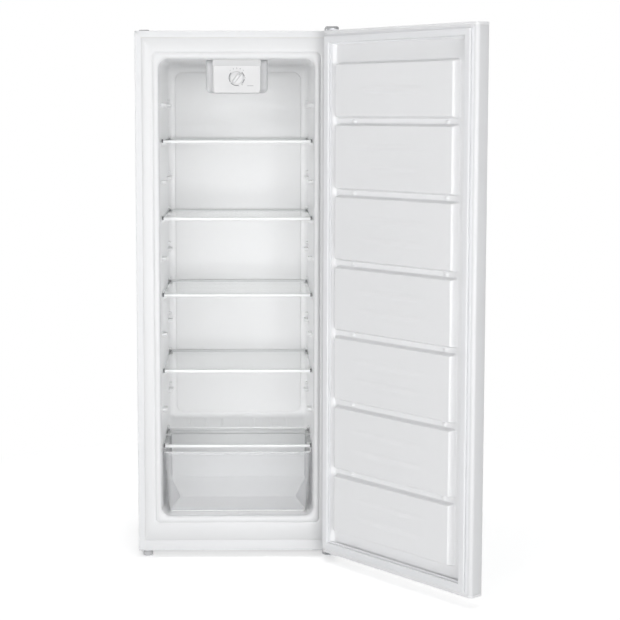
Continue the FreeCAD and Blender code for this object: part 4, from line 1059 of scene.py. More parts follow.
# ---------------------------------------------------------------------------
# Cabinet shell
# ---------------------------------------------------------------------------
@dataclass
class CabinetShell:
    """The painted sides, top and sill, and the galvanised back."""

    sheet: float = 0.0008
    bend: float = 0.0016
    rear_fold: float = 0.012
    seam: float = 0.00015
    bay_front: float = 0.088
    bay_top: float = 0.255
    swage_half: float = 0.024
    swage_pitch: float = 0.16
    swage_depth: float = 0.0006

    def side(self, sign: int) -> None:
        """Build one side with its front fold mitred at the top.

        Args:
            sign: 1 for the right side and -1 for the left.
        """
        shape = Shape()
        rings = []
        for height in (BASE, BASE + 0.0004, TOP - FOLD - 0.002, TOP - FOLD, TOP):
            fold = min(FOLD, max(self.bend + 0.0003, TOP - height - self.seam))
            path = softened(
                [
                    (sign * (HALF - self.rear_fold), BACK),
                    (sign * HALF, BACK),
                    (sign * HALF, FRONT),
                    (sign * (HALF - fold), FRONT),
                ],
                [0, self.bend, self.bend, 0],
                4,
                closed=False,
            )
            outline = folded(path, -sign * self.sheet)
            rings.append([Vector((x, y, height)) for x, y in outline])
        shape.loft(rings, Finish.STEEL_WHITE)
        name = "side_panel_right" if sign > 0 else "side_panel_left"
        shape.finish(f"{name}_sheet", Body.CABINET, "white_painted_steel", [name])

    def top(self) -> None:
        """Build the top with its mitred front fold."""
        shape = Shape()
        rings = []
        edge = HALF - self.sheet
        for x in (-edge, -(HALF - FOLD), HALF - FOLD, edge):
            fold = min(FOLD, max(self.bend + 0.0003, HALF - abs(x) - self.seam))
            path = softened(
                [(BACK - self.sheet, TOP), (FRONT, TOP), (FRONT, TOP - fold)], [0, self.bend, 0], 4, closed=False
            )
            rings.append([Vector((x, y, z)) for y, z in folded(path, self.sheet)])
        shape.loft(rings, Finish.STEEL_WHITE)
        shape.finish("top_panel_sheet", Body.CABINET, "white_painted_steel", ["top_panel"])

    def sill(self) -> None:
        """Build the base with the strip that stands below the opening."""
        shape = Shape()
        rings = []
        edge = HALF - self.sheet
        inner = HALF - FOLD - 0.0002
        strip, tab = SILL - BASE, 0.0022
        beyond = inner + 0.0001
        for x, rise in ((-edge, tab), (-beyond, tab), (-inner, strip), (inner, strip), (beyond, tab), (edge, tab)):
            path = softened(
                [(self.bay_front, BASE), (FRONT, BASE), (FRONT, BASE + rise)], [0, self.bend, 0], 4, closed=False
            )
            rings.append([Vector((x, y, z)) for y, z in folded(path, -self.sheet)])
        shape.loft(rings, Finish.STEEL_WHITE)
        shape.finish("base_plate_sheet", Body.CABINET, "white_painted_steel", ["base_plate"])

    def back(self) -> None:
        """Build the back with its shallow stiffening swages, pressed into the outer face only."""
        half = HALF - self.rear_fold
        xs = ruled(-half, half, [(-0.19, -0.13), (-0.03, 0.03), (0.13, 0.19)], 0.0013, 0.03)
        zs = ruled(self.bay_top, TOP, [(0.30, 0.36), (1.36, 1.42)], 0.004, 0.04)
        grid = np.zeros((len(zs), len(xs)))
        across, up = np.meshgrid(xs, zs)
        for middle in (-self.swage_pitch, 0.0, self.swage_pitch):
            low, high = (middle - self.swage_half, 0.315), (middle + self.swage_half, 1.405)
            depth = inside(across, up, low, high, self.swage_half)
            grid = np.maximum(grid, self.swage_depth * eased(depth / 0.004))
        outside = [[Vector((x, BACK - grid[j, i], z)) for i, x in enumerate(xs)] for j, z in enumerate(zs)]
        inside_face = [[Vector((x, BACK - self.sheet, z)) for x in xs] for z in zs]
        shape = Shape()
        shape.sheet(outside, inside_face, Finish.SPANGLE)
        shape.finish("back_panel_sheet", Body.CABINET, "galvanised_steel", ["back_panel"])

    def build(self) -> None:
        """Build the whole shell."""
        self.side(-1)
        self.side(1)
        self.top()
        self.sill()
        self.back()


# ---------------------------------------------------------------------------
# Cabinet liner
# ---------------------------------------------------------------------------
@dataclass
class CabinetLiner:
    """The vacuum-formed liner with its bead, step, back pad and shelf supports."""

    wall: float = 0.002
    corner: float = 0.018
    mouth_corner: float = 0.025
    groove_corner: float = 0.013
    slope_foot: float = -0.036
    slope_rise: float = 0.0455
    first_level: float = 0.299
    pitch: float = 0.10675
    levels: int = 10
    bead: tuple[Point2, ...] = (
        (0.0000, -0.2380), (0.0002, -0.2415), (0.0010, -0.2446), (0.0026, -0.2472), (0.0050, -0.2490),
        (0.0078, -0.2499), (0.0105, -0.2502), (0.0132, -0.2499), (0.0156, -0.2490), (0.0172, -0.2480),
        (0.0184, -0.2468), (0.0195, -0.2461), (0.0206, -0.2468), (0.0217, -0.2478), (0.0232, -0.2480),
    )

    def hollow(self, grow: float, depth: float, round_by: float) -> Section:
        """The compartment's outline at one depth, let out by a distance."""
        corner = max(3e-4, round_by + grow)
        return Section(OPEN_HALF + grow, OPEN_LOW - grow, OPEN_HIGH + grow, depth, corner, corner)

    def back_corner(self, grow: float) -> list[Section]:
        """The round corner between the back and the walls.

        Args:
            grow: How far the corner is let out.

        Returns:
            Its sections, from the back to the walls.
        """
        radius = self.corner + grow
        sections = []
        for step in range(9):
            angle = math.pi / 2 * (1 - step / 8)
            inset = radius * (1 - math.cos(angle))
            depth = INNER_BACK - self.corner + radius * math.sin(angle)
            sections.append(self.hollow(grow - inset, depth, self.corner))
        return sections

    def walls(self, shape: Shape) -> None:
        """Add the flange, the bead, the walls, the roof and the back.

        Args:
            shape: The shape that they are added to.
        """
        sections = self.back_corner(0.0)
        for depth, radius in ((-0.05, 0.018), (-0.196, 0.018), (-0.206, 0.019), (-0.216, 0.021), (-0.228, 0.0238)):
            sections.append(self.hollow(0.0, depth, radius))
        for out, depth in self.bead:
            share = min(1.0, out / 0.0195)
            corner = self.mouth_corner + (self.groove_corner - self.mouth_corner) * share
            base = self.hollow(0.0, depth, corner)
            sections.append(
                Section(base.half + out * 0.923, base.low - out, base.high + out * 0.974, depth, corner, corner)
            )
        edge = (0.25694, SILL + 0.00006, TOP - FOLD - 0.00006)
        sections.append(Section(edge[0] - 0.0007, edge[1] + 0.0007, edge[2] - 0.0007, FRONT, 0.0005, 0.0005))
        sections.append(Section(*edge, FRONT + 0.0008, 0.0008, 0.0008))
        sections.append(Section(*edge, FRONT + self.wall, 0.0008, 0.0008))
        sections.append(self.hollow(self.wall, FRONT + self.wall, 0.025))
        sections += reversed(self.back_corner(self.wall))
        shape.loft([section.ring(9) for section in sections], Finish.LINER)
        # The flange and bead in front of the bead's start get the darkened copy of the liner plastic, which is painted
        # shade
        rim = shape.slot_of(Finish.LINER_RIM)
        for face in shape.mesh.faces:
            if face.calc_center_median().y < self.bead[0][1]:
                face.material_index = rim

    def step(self, shape: Shape) -> None:
        """Add the floor, its slope and the step over the compressor.

        Args:
            shape: The shape that they are added to.
        """
        corners = [
            (-0.232, OPEN_LOW - 0.0007),
            (-0.220, OPEN_LOW + 0.0002),
            (self.slope_foot, OPEN_LOW + 0.0003),
            (STEP_FACE, OPEN_LOW + self.slope_rise),
            (STEP_FACE, STEP_TOP),
            (INNER_BACK - 0.0002, STEP_TOP),
            (INNER_BACK - 0.0002, STEP_TOP + 0.028),
        ]
        path = softened(corners, [0, 0.004, 0.03, 0.0195, 0.0045, 0.0195, 0], 8, closed=False)
        columns = []
        for step in range(13):
            angle = math.pi / 2 * step / 12
            columns.append((self.corner * (1 - math.sin(angle)), self.corner * (1 - math.cos(angle))))
        rings = []
        line = sorted({(OPEN_HALF - away, lift) for lift, away in columns})
        full = [(-x, lift) for x, lift in reversed(line)] + line
        edge = OPEN_HALF + 0.001
        full = [(-edge, self.corner)] + full + [(edge, self.corner)]
        floor = OPEN_LOW - 0.0015
        for x, lift in full:
            top = beside(path, lift) if lift > MERGE / 10 else list(path)
            below = [(INNER_BACK + 0.001, top[-1][1]), (INNER_BACK + 0.001, floor), (top[0][0], floor)]
            rings.append([Vector((x, y, z)) for y, z in top + below])
        shape.loft(rings, Finish.LINER)

    def back_pad(self, shape: Shape) -> None:
        """Add the raised panel over the cold plate.

        Args:
            shape: The shape that it is added to.
        """
        panel = Section(0.189, STEP_TOP + 0.015, OPEN_HIGH - 0.022, 0.184, 0.026, 0.026)
        shape.loft(shoulder(panel, 0.0035, INNER_BACK + 0.001, INNER_BACK - 0.004), Finish.LINER)

    def support(self, span: Point2, size: Point2, sign: int) -> Shape:
        """One moulded bar or hook on a side wall, tapered at its ends.

        Args:
            span: Where it starts and ends in depth.
            size: How far it stands out, and its height.
            sign: 1 for the right wall and -1 for the left.

        Returns:
            The shape, with its top at height 0.
        """
        reach, height = size
        wall = sign * (OPEN_HALF + 0.001)
        face = sign * (OPEN_HALF - reach)
        corners = [(wall, -height - 0.004), (face, -height), (face, 0.0), (wall, 0.0)]
        outline = softened(corners, [0, 0.0028, 0.0012, 0], 4)
        start, end = span
        ends = [
            (0.12, start), (0.34, start + 0.0025), (0.66, start + 0.006), (0.9, start + 0.0095), (1.0, start + 0.013)
        ]
        ends += [(1.0, end - 0.006), (0.9, end - 0.003), (0.6, end - 0.001), (0.4, end)]
        rings = []
        for share, y in ends:
            drop = (1 - share) * height * 0.2
            rings.append([Vector((wall + (x - wall) * share, y, z * share - drop)) for x, z in outline])
        part = Shape()
        part.loft(rings, Finish.LINER)
        return part

    def supports(self, repeat: Repeater) -> list[bpy.types.Mesh]:
        """The bars that carry the shelves, the hooks over the rear ones and the ribs on the step.

        Args:
            repeat: The tree that repeats a part along a line.

        Returns:
            One mesh for each row of them.
        """
        bar, hook = (0.013, 0.008), (0.008, 0.006)
        tail, lip = INNER_BACK - 0.014, STEP_FACE - 0.002
        second, over = self.first_level + self.pitch, 0.016
        rows = (
            ("front_bars", (FRONT + 0.076, FRONT + 0.124), bar, self.levels, self.first_level),
            ("rear_bars", (tail - 0.052, tail), bar, self.levels - 1, second),
            ("hooks", (tail - 0.022, tail), hook, self.levels - 1, second + over),
            ("low_rear_bar", (lip - 0.052, lip), bar, 1, self.first_level),
            ("low_hook", (lip - 0.022, lip), hook, 1, self.first_level + over),
        )
        meshes = []
        up = Vector((0, 0, self.pitch))
        for sign, side in ((-1, "left"), (1, "right")):
            for name, span, size, count, level in rows:
                part = self.support(span, size, sign)
                start = Vector((0, 0, level))
                meshes.append(repeat.run(f"{name}_{side}", part, Finish.LINER, Count=count, Start=start, Step=up))
        rib = Shape()
        outline = softened(
            [(-0.0045, -0.003), (0.0045, -0.003), (0.0028, 0.0014), (-0.0028, 0.0014)],
            [0.0004, 0.0004, 0.0012, 0.0012],
            3,
        )
        rings = []
        for share, y in (
            (0.3, STEP_FACE + 0.0115), (0.8, STEP_FACE + 0.0145), (1.0, STEP_FACE + 0.020), (1.0, INNER_BACK - 0.026),
            (0.6, INNER_BACK - 0.021),
        ):
            rings.append([Vector((x * share, y, z * share)) for x, z in outline])
        rib.loft(rings, Finish.LINER)
        count, apart = 7, 0.049
        first = Vector((-apart * (count - 1) / 2, 0, STEP_TOP))
        meshes.append(repeat.run("step_ribs", rib, Finish.LINER, Count=count, Start=first, Step=Vector((apart, 0, 0))))
        return meshes

    def build(self, repeat: Repeater) -> None:
        """Build the liner.

        Args:
            repeat: The tree that repeats a part along a line.
        """
        shape = Shape()
        self.walls(shape)
        self.step(shape)
        self.back_pad(shape)
        shape.finish("inner_liner_form", Body.CABINET, "white_liner_plastic", ["inner_liner"], smooth=50.0)
        supports = joined("inner_liner_supports", self.supports(repeat))
        settle(supports, Body.CABINET, ["inner_liner"])


# ---------------------------------------------------------------------------
# Thermostat
# ---------------------------------------------------------------------------
@dataclass
class Thermostat:
    """The housing under the ceiling with its dial, a ring of dark arcs painted as the shadow of the gap round the knob,
    and its marks and numbers.
    """

    half: float = 0.066
    face: float = -0.198
    foot: float = 1.287
    centre: float = 1.329
    dial_radius: float = 0.0175
    ring_radius: float = 0.0208
    # The ring's dark arcs are painted shadow of the gap round the knob
    ring_width: float = 0.0021
    arcs: tuple[Point2, ...] = ((42, 80), (100, 136), (168, 232), (238, 312))
    rear_half: float = 0.085
    rear_face: float = -0.176

    def housing(self) -> None:
        """Build the front box, its flared head and the wider body behind it, whose darker plastic is painted shade."""
        shape = Shape()
        box = Section(self.half, self.foot, OPEN_HIGH + 0.0006, 0.0, 0.009, 0.0006)
        # The case wears the darkened copy of the white plastic, which is painted shade
        shape.loft(shoulder(box, 0.0045, -0.081, self.face, 6), Finish.CASE_WHITE)
        visor = softened(
            [
                (self.face + 0.006, 1.3585), (self.face - 0.0006, 1.3610), (self.face - 0.0158, OPEN_HIGH - 0.0016),
                (self.face - 0.0156, OPEN_HIGH + 0.0004), (self.face + 0.006, OPEN_HIGH + 0.0004),
            ],
            [0, 0.003, 0.0015, 0.0004, 0],
            4,
        )
        shape.prism(visor, Axis.X, -self.half + 0.0006, self.half - 0.0006, Finish.CASE_WHITE, soft=0.0008)
        # The rear body's darker finish is painted shade, standing in for the soft shadow either side of the housing
        rear = Section(self.rear_half, self.foot + 0.0015, OPEN_HIGH + 0.0004, 0.0, 0.012, 0.0006)
        shape.loft(shoulder(rear, 0.0118, -0.080, self.rear_face, 8), Finish.CASE_SHADE)
        shape.finish("thermostat_case", Body.CABINET, "white_moulded_plastic", ["thermostat_housing"])

    def spot(self, angle: float, out: float) -> Point2:
        """A place on the face round the dial, at an angle from the top and a distance outside the ring."""
        radius = self.ring_radius + out
        return (radius * math.sin(angle), self.centre + radius * math.cos(angle))

    def print_on(self, shape: Shape, outline: Sequence[Point2]) -> None:
        """Lay a flat dark mark on the housing's face, used for print and for the painted gap shadow.

        Args:
            shape: The shape that it is added to.
            outline: Its outline, as x and z.
        """
        shape.prism(outline, Axis.Y, self.face - 0.00025, self.face + 0.0006, Finish.MARK_GREY)

    def arc(self, shape: Shape, start: float, end: float, steps: int = 16) -> None:
        """Add one dark arc of the ring, painted shadow of the gap round the knob.

        Args:
            shape: The shape that it is added to.
            start: The angle at which it starts.
            end: The angle at which it ends.
            steps: Straight pieces in it.
        """
        angles = [start + (end - start) * n / steps for n in range(steps + 1)]
        outer = [self.spot(angle, self.ring_width / 2) for angle in angles]
        inner = [self.spot(angle, -self.ring_width / 2) for angle in angles]
        self.print_on(shape, outer + inner[::-1])

    def tick(self, shape: Shape, middle: Point2, size: Point2, tilt: float = 0.0) -> None:
        """Add a short straight mark.

        Args:
            shape: The shape that it is added to.
            middle: Its centre, as x and z.
            size: Its width and length.
            tilt: How far it is turned.
        """
        spin = Matrix.Rotation(-tilt, 2)
        corners = [Vector((a * size[0] / 2, b * size[1] / 2)) for a, b in CORNERS]
        self.print_on(shape, [tuple(spin @ corner + Vector(middle)) for corner in corners])

    def marks(self) -> None:
        """Build the ring of painted gap shadow round the dial, its ticks and its numbers."""
        shape = Shape()
        turn = math.radians
        # Painted shadow: dark arcs where the gap round the knob is in shade
        for start, end in self.arcs:
            self.arc(shape, turn(start), turn(end))
        self.tick(shape, self.spot(turn(90), 0.0018), (0.0036, 0.0010))
        self.tick(shape, self.spot(turn(141), 0.0020), (0.0011, 0.0052), turn(141))
        self.tick(shape, self.spot(turn(166), 0.0016), (0.0010, 0.0036), turn(166))
        self.tick(shape, (0.037, 1.3075), (0.017, 0.0010))
        for angle, number in ((-42, 1), (-21, 2), (0, 3), (21, 4), (42, 5)):
            self.number(shape, number, self.spot(turn(angle), 0.0052 + abs(angle) / 42 * 0.0006))
        shape.finish("thermostat_marks", Body.CABINET, "white_moulded_plastic", merge=0.0)

    def number(self, shape: Shape, value: int, middle: Point2) -> None:
        """Add one small number.

        Args:
            shape: The shape that it is added to.
            value: The number.
            middle: Where it stands, as x and z.
        """
        curve = bpy.data.curves.new("number", "FONT")
        curve.body = str(value)
        curve.size = 0.0058
        curve.extrude = 0.0003
        curve.resolution_u = 3
        curve.align_x = "CENTER"
        curve.align_y = "CENTER"
        holder = bpy.data.objects.new("number", curve)
        bpy.context.scene.collection.objects.link(holder)
        bpy.context.view_layer.update()
        flat = bpy.data.meshes.new_from_object(holder.evaluated_get(bpy.context.evaluated_depsgraph_get()))
        bpy.data.objects.remove(holder)
        bpy.data.curves.remove(curve)
        slot = shape.slot_of(Finish.MARK_GREY)
        part = bmesh.new()
        part.from_mesh(flat)
        bpy.data.meshes.remove(flat)
        bmesh.ops.remove_doubles(part, verts=part.verts, dist=1e-6)
        place = Matrix.Translation((middle[0], self.face - 0.00005, middle[1])) @ Matrix.Rotation(math.pi / 2, 4, "X")
        bmesh.ops.transform(part, matrix=place, verts=part.verts)
        for face in part.faces:
            face.material_index = slot
        shape.take(part)

    def dial(self) -> None:
        """Build the knob with its round skirt and its finger bar, which lies aslant."""
        shape = Shape()
        at = Vector((0.0, 0.0, self.centre))
        back = self.face - 0.0004
        skirt = [
            (0.0, back), (0.0165, back), (self.dial_radius, back - 0.0008), (self.dial_radius, back - 0.0036),
            (0.0168, back - 0.0047), (0.0155, back - 0.0051), (0.0, back - 0.0054),
        ]
        # The knob wears the darkened copy of the white plastic, which is painted shade
        shape.turned(skirt, at, Finish.CASE_WHITE, 56, Axis.Y)
        tilt = Matrix.Translation(at) @ Matrix.Rotation(math.radians(38), 4, "Y")
        part = Shape()
        outline = softened(
            [(-0.0042, -0.0162), (0.0042, -0.0162), (0.0042, 0.0162), (-0.0042, 0.0162)],
            [0.004, 0.004, 0.004, 0.004],
            5,
        )
        rings = []
        for share, y in (
            (1.25, back - 0.0046), (1.04, back - 0.0060), (0.96, back - 0.0078), (0.86, back - 0.0092),
            (0.66, back - 0.0099),
        ):
            rings.append([tilt @ Vector((x * share, y, z * (1 - (1 - share) * 0.3))) for x, z in outline])
        part.loft(rings, Finish.CASE_WHITE)
        pointer = [(-0.0005, 0.0085), (0.0005, 0.0085), (0.0005, 0.0150), (-0.0005, 0.0150)]
        part.loft(
            [[tilt @ Vector((x, y, z)) for x, z in pointer] for y in (back - 0.0095, back - 0.0101)], Finish.MARK_GREY
        )
        for finish in part.finishes:
            shape.slot_of(finish)
        bmesh.ops.recalc_face_normals(part.mesh, faces=part.mesh.faces)
        shape.take(part.mesh)
        shaft = [(0.0, back), (0.003, back), (0.003, self.face + 0.014), (0.0, self.face + 0.014)]
        shape.turned(shaft, at, Finish.CASE_WHITE, 20, Axis.Y)
        shape.finish("thermostat_knob", Body.DIAL, "white_moulded_plastic", ["thermostat_dial"])

    def build(self) -> None:
        """Build the whole thermostat."""
        self.housing()
        self.marks()
        self.dial()


# ---------------------------------------------------------------------------
# Shelves and drawer
# ---------------------------------------------------------------------------
@dataclass
class GlassShelf:
    """One clear shelf with a rounded front trim, a rear trim and end clips."""

    number: int
    under: float
    tail: float
    half: float = 0.2075
    nose: float = -0.188
    glass: float = 0.004

    @property
    def body(self) -> str:
        """The body that the shelf is."""
        return f"shelf_{self.number}"

    def pane(self) -> None:
        """Build the glass with ground edges."""
        shape = Shape()
        low = (-self.half + 0.0002, self.nose + 0.00155, self.under)
        high = (self.half - 0.0002, self.tail - 0.00155, self.under + self.glass)
        shape.block(low, high, Finish.GLASS, 0.0006, 2)
        edge, side = shape.slot_of(Finish.GLASS_EDGE), shape.slot_of(Finish.GLASS_SIDE)
        for face in shape.mesh.faces:
            if abs(face.normal.z) < 0.5:
                face.material_index = side if abs(face.normal.x) > 0.5 else edge
        shape.finish(f"{self.body}_pane", self.body, "shelf_glass", [f"{self.body}_glass"])

    def front_trim(self) -> None:
        """Build the bright trim that grips the front edge, with its dark end clips."""
        shape = Shape()
        low, high = self.under - 0.002, self.under + self.glass + 0.002
        seat, roof = self.under - 0.00005, self.under + self.glass + 0.00005
        inner, back = self.nose + 0.0015, self.nose + 0.011
        outside = [(self.nose, low), (back, low), (back, seat), (inner, seat)]
        inside = [(inner, roof), (back, roof), (back, high), (self.nose, high)]
        outline = softened(outside + inside, [0.0022, 0.0006, 0, 0, 0, 0, 0.0006, 0.0022], 4)
        shape.prism(outline, Axis.X, -self.half + 0.0040, self.half - 0.0040, Finish.TRIM_CLEAR)
        for sign in (-1, 1):
            ends = sorted((sign * (self.half - 0.0042), sign * self.half))
            shape.block(
                (ends[0], self.nose + 0.0001, low + 0.0003),
                (ends[1], self.nose + 0.0120, high + 0.0022),
                Finish.CLIP_DARK,
                0.0008,
            )
        shape.finish(f"{self.body}_nose", self.body, "clear_trim_plastic", [f"{self.body}_front_trim"])

    def rear_trim(self) -> None:
        """Build the soft grey trim along the back edge, with its corner clips."""
        shape = Shape()
        foot, high = self.under - 0.0006, self.under + self.glass + 0.002
        roof = self.under + self.glass + 0.00005
        front, inner = self.tail - 0.009, self.tail - 0.0015
        hook = [(front, roof), (inner, roof), (inner, foot), (self.tail, foot), (self.tail, high), (front, high)]
        outline = softened(hook, [0, 0, 0, 0.0004, 0.0018, 0.0008], 4)
        shape.prism(outline, Axis.X, -self.half + 0.006, self.half - 0.006, Finish.TRIM_REAR)
        for sign in (-1, 1):
            ends = sorted((sign * (self.half - 0.0055), sign * self.half))
            shape.block(
                (ends[0], self.tail - 0.0090, self.under - 0.0002),
                (ends[1], self.tail - 0.0002, high),
                Finish.CLIP_GREY,
                0.0012,
            )
        shape.finish(f"{self.body}_tail", self.body, "clear_trim_plastic", [f"{self.body}_rear_trim"])

    def build(self) -> None:
        """Build the shelf."""
        self.pane()
        self.front_trim()
        self.rear_trim()


@dataclass
class Drawer:
    """The clear scoop-shaped drawer that sits over the step's foot."""

    half: float = 0.205
    nose: float = -0.203
    lean: float = -0.004
    tail: float = 0.037
    heel: float = -0.048
    low: float = 0.1187
    high: float = 0.2895
    step: float = 0.042
    wall: float = 0.0022
    corner: float = 0.012
    toe_front: float = 0.011
    toe_rear: float = 0.041

    def outline(self, height: float, grow: float) -> list[Point2]:
        """The tub's outline at one height, let in by a distance.

        Args:
            height: The height over the floor of the room.
            grow: How far each side is let in.

        Returns:
            The ring of points.
        """
        rise = height - self.low
        whole = self.high - self.low
        front_share = min(1.0, rise / whole)
        toe = min(1.0, rise / self.step)
        above = max(0.0, (rise - self.step) / (whole - self.step))
        nose = self.nose + self.lean * (1 - front_share)
        back = self.heel + (self.tail - 0.002 - self.heel) * toe + 0.002 * above
        front_half = self.half - self.toe_front * (1 - front_share)
        rear_half = self.half - self.toe_rear + (self.toe_rear - 0.004) * toe + 0.003 * above
        ends = [
            (-front_half + grow, nose + grow),
            (front_half - grow, nose + grow),
            (rear_half - grow, back - grow),
            (-rear_half + grow, back - grow),
        ]
        radius = max(0.0015, self.corner - grow)
        return softened(ends, [radius] * 4, 6)

    def build(self) -> None:
        """Build the tub with its rim and the pull along its front."""
        shape = Shape()
        soft = 0.006
        places: list[tuple[float, float, float]] = []
        for step in range(7):
            angle = math.pi / 2 * step / 6
            level = self.low + soft * (1 - math.cos(angle))
            places.append((level, level, soft * (1 - math.sin(angle))))
        levels = [
            self.low + 0.02, self.low + 0.032, self.low + self.step - 0.002, self.low + self.step + 0.002, 0.20, 0.25
        ]
        places += [(level, level, 0.0) for level in (*levels, self.high - 0.005)]
        for height, out in (
            (self.high - 0.0042, -0.0010), (self.high - 0.0030, -0.0019), (self.high - 0.0008, -0.0020),
            (self.high, -0.0012), (self.high, 0.0014), (self.high - 0.0008, self.wall),
        ):
            places.append((height, self.high, out))
        places += [(level, level, self.wall) for level in reversed(levels)]
        inner = soft - self.wall
        for step in range(7):
            angle = math.pi / 2 * (1 - step / 6)
            height = self.low + self.wall + inner * (1 - math.cos(angle))
            places.append((height, height, self.wall + inner * (1 - math.sin(angle))))
        rings = [[Vector((x, y, height)) for x, y in self.outline(level, grow)] for height, level, grow in places]
        shape.loft(rings, Finish.DRAWER_CLEAR)
        frost, edge = shape.slot_of(Finish.DRAWER_FROST), shape.slot_of(Finish.DRAWER_EDGE)
        shape.mesh.normal_update()
        for face in shape.mesh.faces:
            spot = face.calc_center_median()
            if spot.z > self.high - 0.0045:
                face.material_index = edge
            elif abs(face.normal.x) < 0.6 and (spot.y > self.nose + 0.010 or spot.z < self.low + 0.004):
                face.material_index = frost
        pull = softened(
            [
                (self.nose + 0.0005, self.high - 0.003), (self.nose + 0.0005, self.high - 0.0002),
                (self.nose - 0.0062, self.high - 0.0002), (self.nose - 0.0066, self.high - 0.0075),
                (self.nose - 0.0048, self.high - 0.0075), (self.nose - 0.0044, self.high - 0.003),
            ],
            [0, 0.0003, 0.0018, 0.0006, 0.0006, 0.0012],
            4,
        )
        shape.prism(pull, Axis.X, -self.half + 0.014, self.half - 0.014, Finish.DRAWER_CLEAR, soft=0.001)
        shape.finish("drawer_tub", Body.DRAWER, "clear_drawer_plastic", ["drawer_bin"], smooth=40.0)


# ---------------------------------------------------------------------------
# Door
# ---------------------------------------------------------------------------
@dataclass
class Door:
    """The open door: steel skin, caps, formed liner with pads, seal and stop.

    Its pieces are drawn shut in the door's own frame, where u runs from the free
    side to the hinge side and v from the outside in, and then turned open.
    """

    free: float = -0.5332
    hinge: float = 0.0168
    outer: float = -0.0209
    inner: float = 0.0208
    low: float = 0.0256
    high: float = 1.453
    cap: float = 0.008
    sheet: float = 0.0008
    inner_round: float = 0.0095
    outer_round: float = 0.0026
    flange: float = 0.014
    recess_depth: float = 0.010
    pad_rise: float = 0.018
    pads: int = 7
    first_channel: float = 0.2364
    pitch: float = 0.190
    channel: float = 0.022
    pad_left: float = 0.072
    pad_right: float = 0.058
    pad_foot: float = 0.071
    pad_head: float = 0.091
    posts: Point2 = (-0.096, -0.430)

    @property
    def turn(self) -> Matrix:
        """Where the shut door's frame stands when the door is open."""
        return Matrix.Translation(PIVOT) @ Matrix.Rotation(DOOR_OPEN, 4, "Z")

    def skin(self) -> None:
        """Build the folded steel skin."""
        shape = Shape()
        path = softened(
            [
                (self.hinge - self.flange, self.inner), (self.hinge, self.inner), (self.hinge, self.outer),
                (self.free, self.outer), (self.free, self.inner), (self.free + self.flange, self.inner),
            ],
            [0, self.inner_round, self.outer_round, self.outer_round, self.inner_round, 0],
            6,
            closed=False,
        )
        shape.prism(folded(path, -self.sheet), Axis.Z, self.low + self.cap, self.high - self.cap, Finish.STEEL_WHITE)
        shape.finish("door_skin", Body.DOOR, "white_painted_steel", ["door_outer_panel"], turn=self.turn)

    def end_cap(self, name: str, seam: float, end: float) -> None:
        """Build the plastic cap across one end.

        Args:
            name: The CAD node that it stands for.
            seam: Where it meets the skin.
            end: Where it ends.
        """
        shape = Shape()
        way = math.copysign(1.0, end - seam)
        rings = []
        for inset, height in (
            (0.0009, seam), (0.0009, seam + way * 0.0006), (0.0, seam + way * 0.0009), (0.0, end - way * 0.0024),
            (0.0004, end - way * 0.0011), (0.0013, end - way * 0.0003), (0.0026, end),
        ):
            corners = [
                (self.free + inset, self.outer + inset),
                (self.hinge - inset, self.outer + inset),
                (self.hinge - inset, self.inner - inset),
                (self.free + inset, self.inner - inset),
            ]
            radii = [self.outer_round, self.outer_round, self.inner_round, self.inner_round]
            rings.append([Vector((u, v, height)) for u, v in softened(corners, radii, 6)])
        shape.loft(rings, Finish.TRIM_WHITE)
        shape.finish(f"{name}_moulding", Body.DOOR, "white_moulded_plastic", [name], turn=self.turn)

    def rectangle(self, inset: float) -> list[Point2]:
        """The door's outline, as u and z, let in all round.

        Args:
            inset: How far each side is let in.

        Returns:
            The four corners, from the low free one round.
        """
        left, right = self.free + inset, self.hinge - inset
        low, high = self.low + inset, self.high - inset
        return [(left, low), (right, low), (right, high), (left, high)]

    def channels(self) -> list[float]:
        """The heights of the channels between the pads."""
        return [self.low + self.first_channel + n * self.pitch for n in range(self.pads - 1)]

    def pad_spans(self) -> list[Point2]:
        """Where each pad starts and ends, from the lowest up.

        Returns:
            The low and the high end of each pad.
        """
        middles = self.channels()
        starts = [self.low + self.pad_foot] + [middle + self.channel / 2 for middle in middles]
        ends = [middle - self.channel / 2 for middle in middles] + [self.high - self.pad_head]
        return list(zip(starts, ends))

    def grooves(self, number: int) -> tuple[float, ...]:
        """Where a pad's grooves lie, as shares of its height."""
        return (0.5,) if number == self.pads - 1 else (0.345, 0.655)

    def relief(self, u: np.ndarray, z: np.ndarray) -> np.ndarray:
        """How far the liner stands over the skin's inner plane, at each spot.

        Args:
            u: Places across the door.
            z: Heights.

        Returns:
            The relief, negative in the recess.
        """
        dish = inside(u, z, (self.free + 0.036, self.low + 0.027), (self.hinge - 0.036, self.high - 0.030), 0.016)
        height = -self.recess_depth * eased(dish / 0.009)
        lip = np.minimum(u - self.free - self.flange, self.hinge - self.flange - u)
        height -= 0.0012 * (1 - eased(lip / 0.0012))
        left, right = self.free + self.pad_left, self.hinge - self.pad_right
        for number, (start, end) in enumerate(self.pad_spans()):
            side = np.minimum(u - (left - 0.0105), (right + 0.0105) - u) / 0.013
            edge = np.minimum(z - (start - 0.0048), (end + 0.0048) - z) / 0.007
            short = np.hypot(np.maximum(1 - side, 0), np.maximum(1 - edge, 0))
            height += self.pad_rise * eased(1 - short)
            for share in self.grooves(number):
                middle = start + (end - start) * share
                run = eased((u - (self.free + 0.135)) / 0.10) * eased((self.hinge - 0.115 - u) / 0.10)
                away = (z - middle) / 0.0075
                height -= 0.0027 * run * np.exp(-((away - 0.35) ** 2) * 1.6)
                height += 0.0010 * run * np.exp(-((away + 1.3) ** 2) * 2.0)
        for middle in self.channels():
            for spot in self.posts:
                away = np.hypot((u - spot) / 0.007, (z - middle) / 0.0045)
                height += 0.0042 * eased(1.35 - away)
        return height

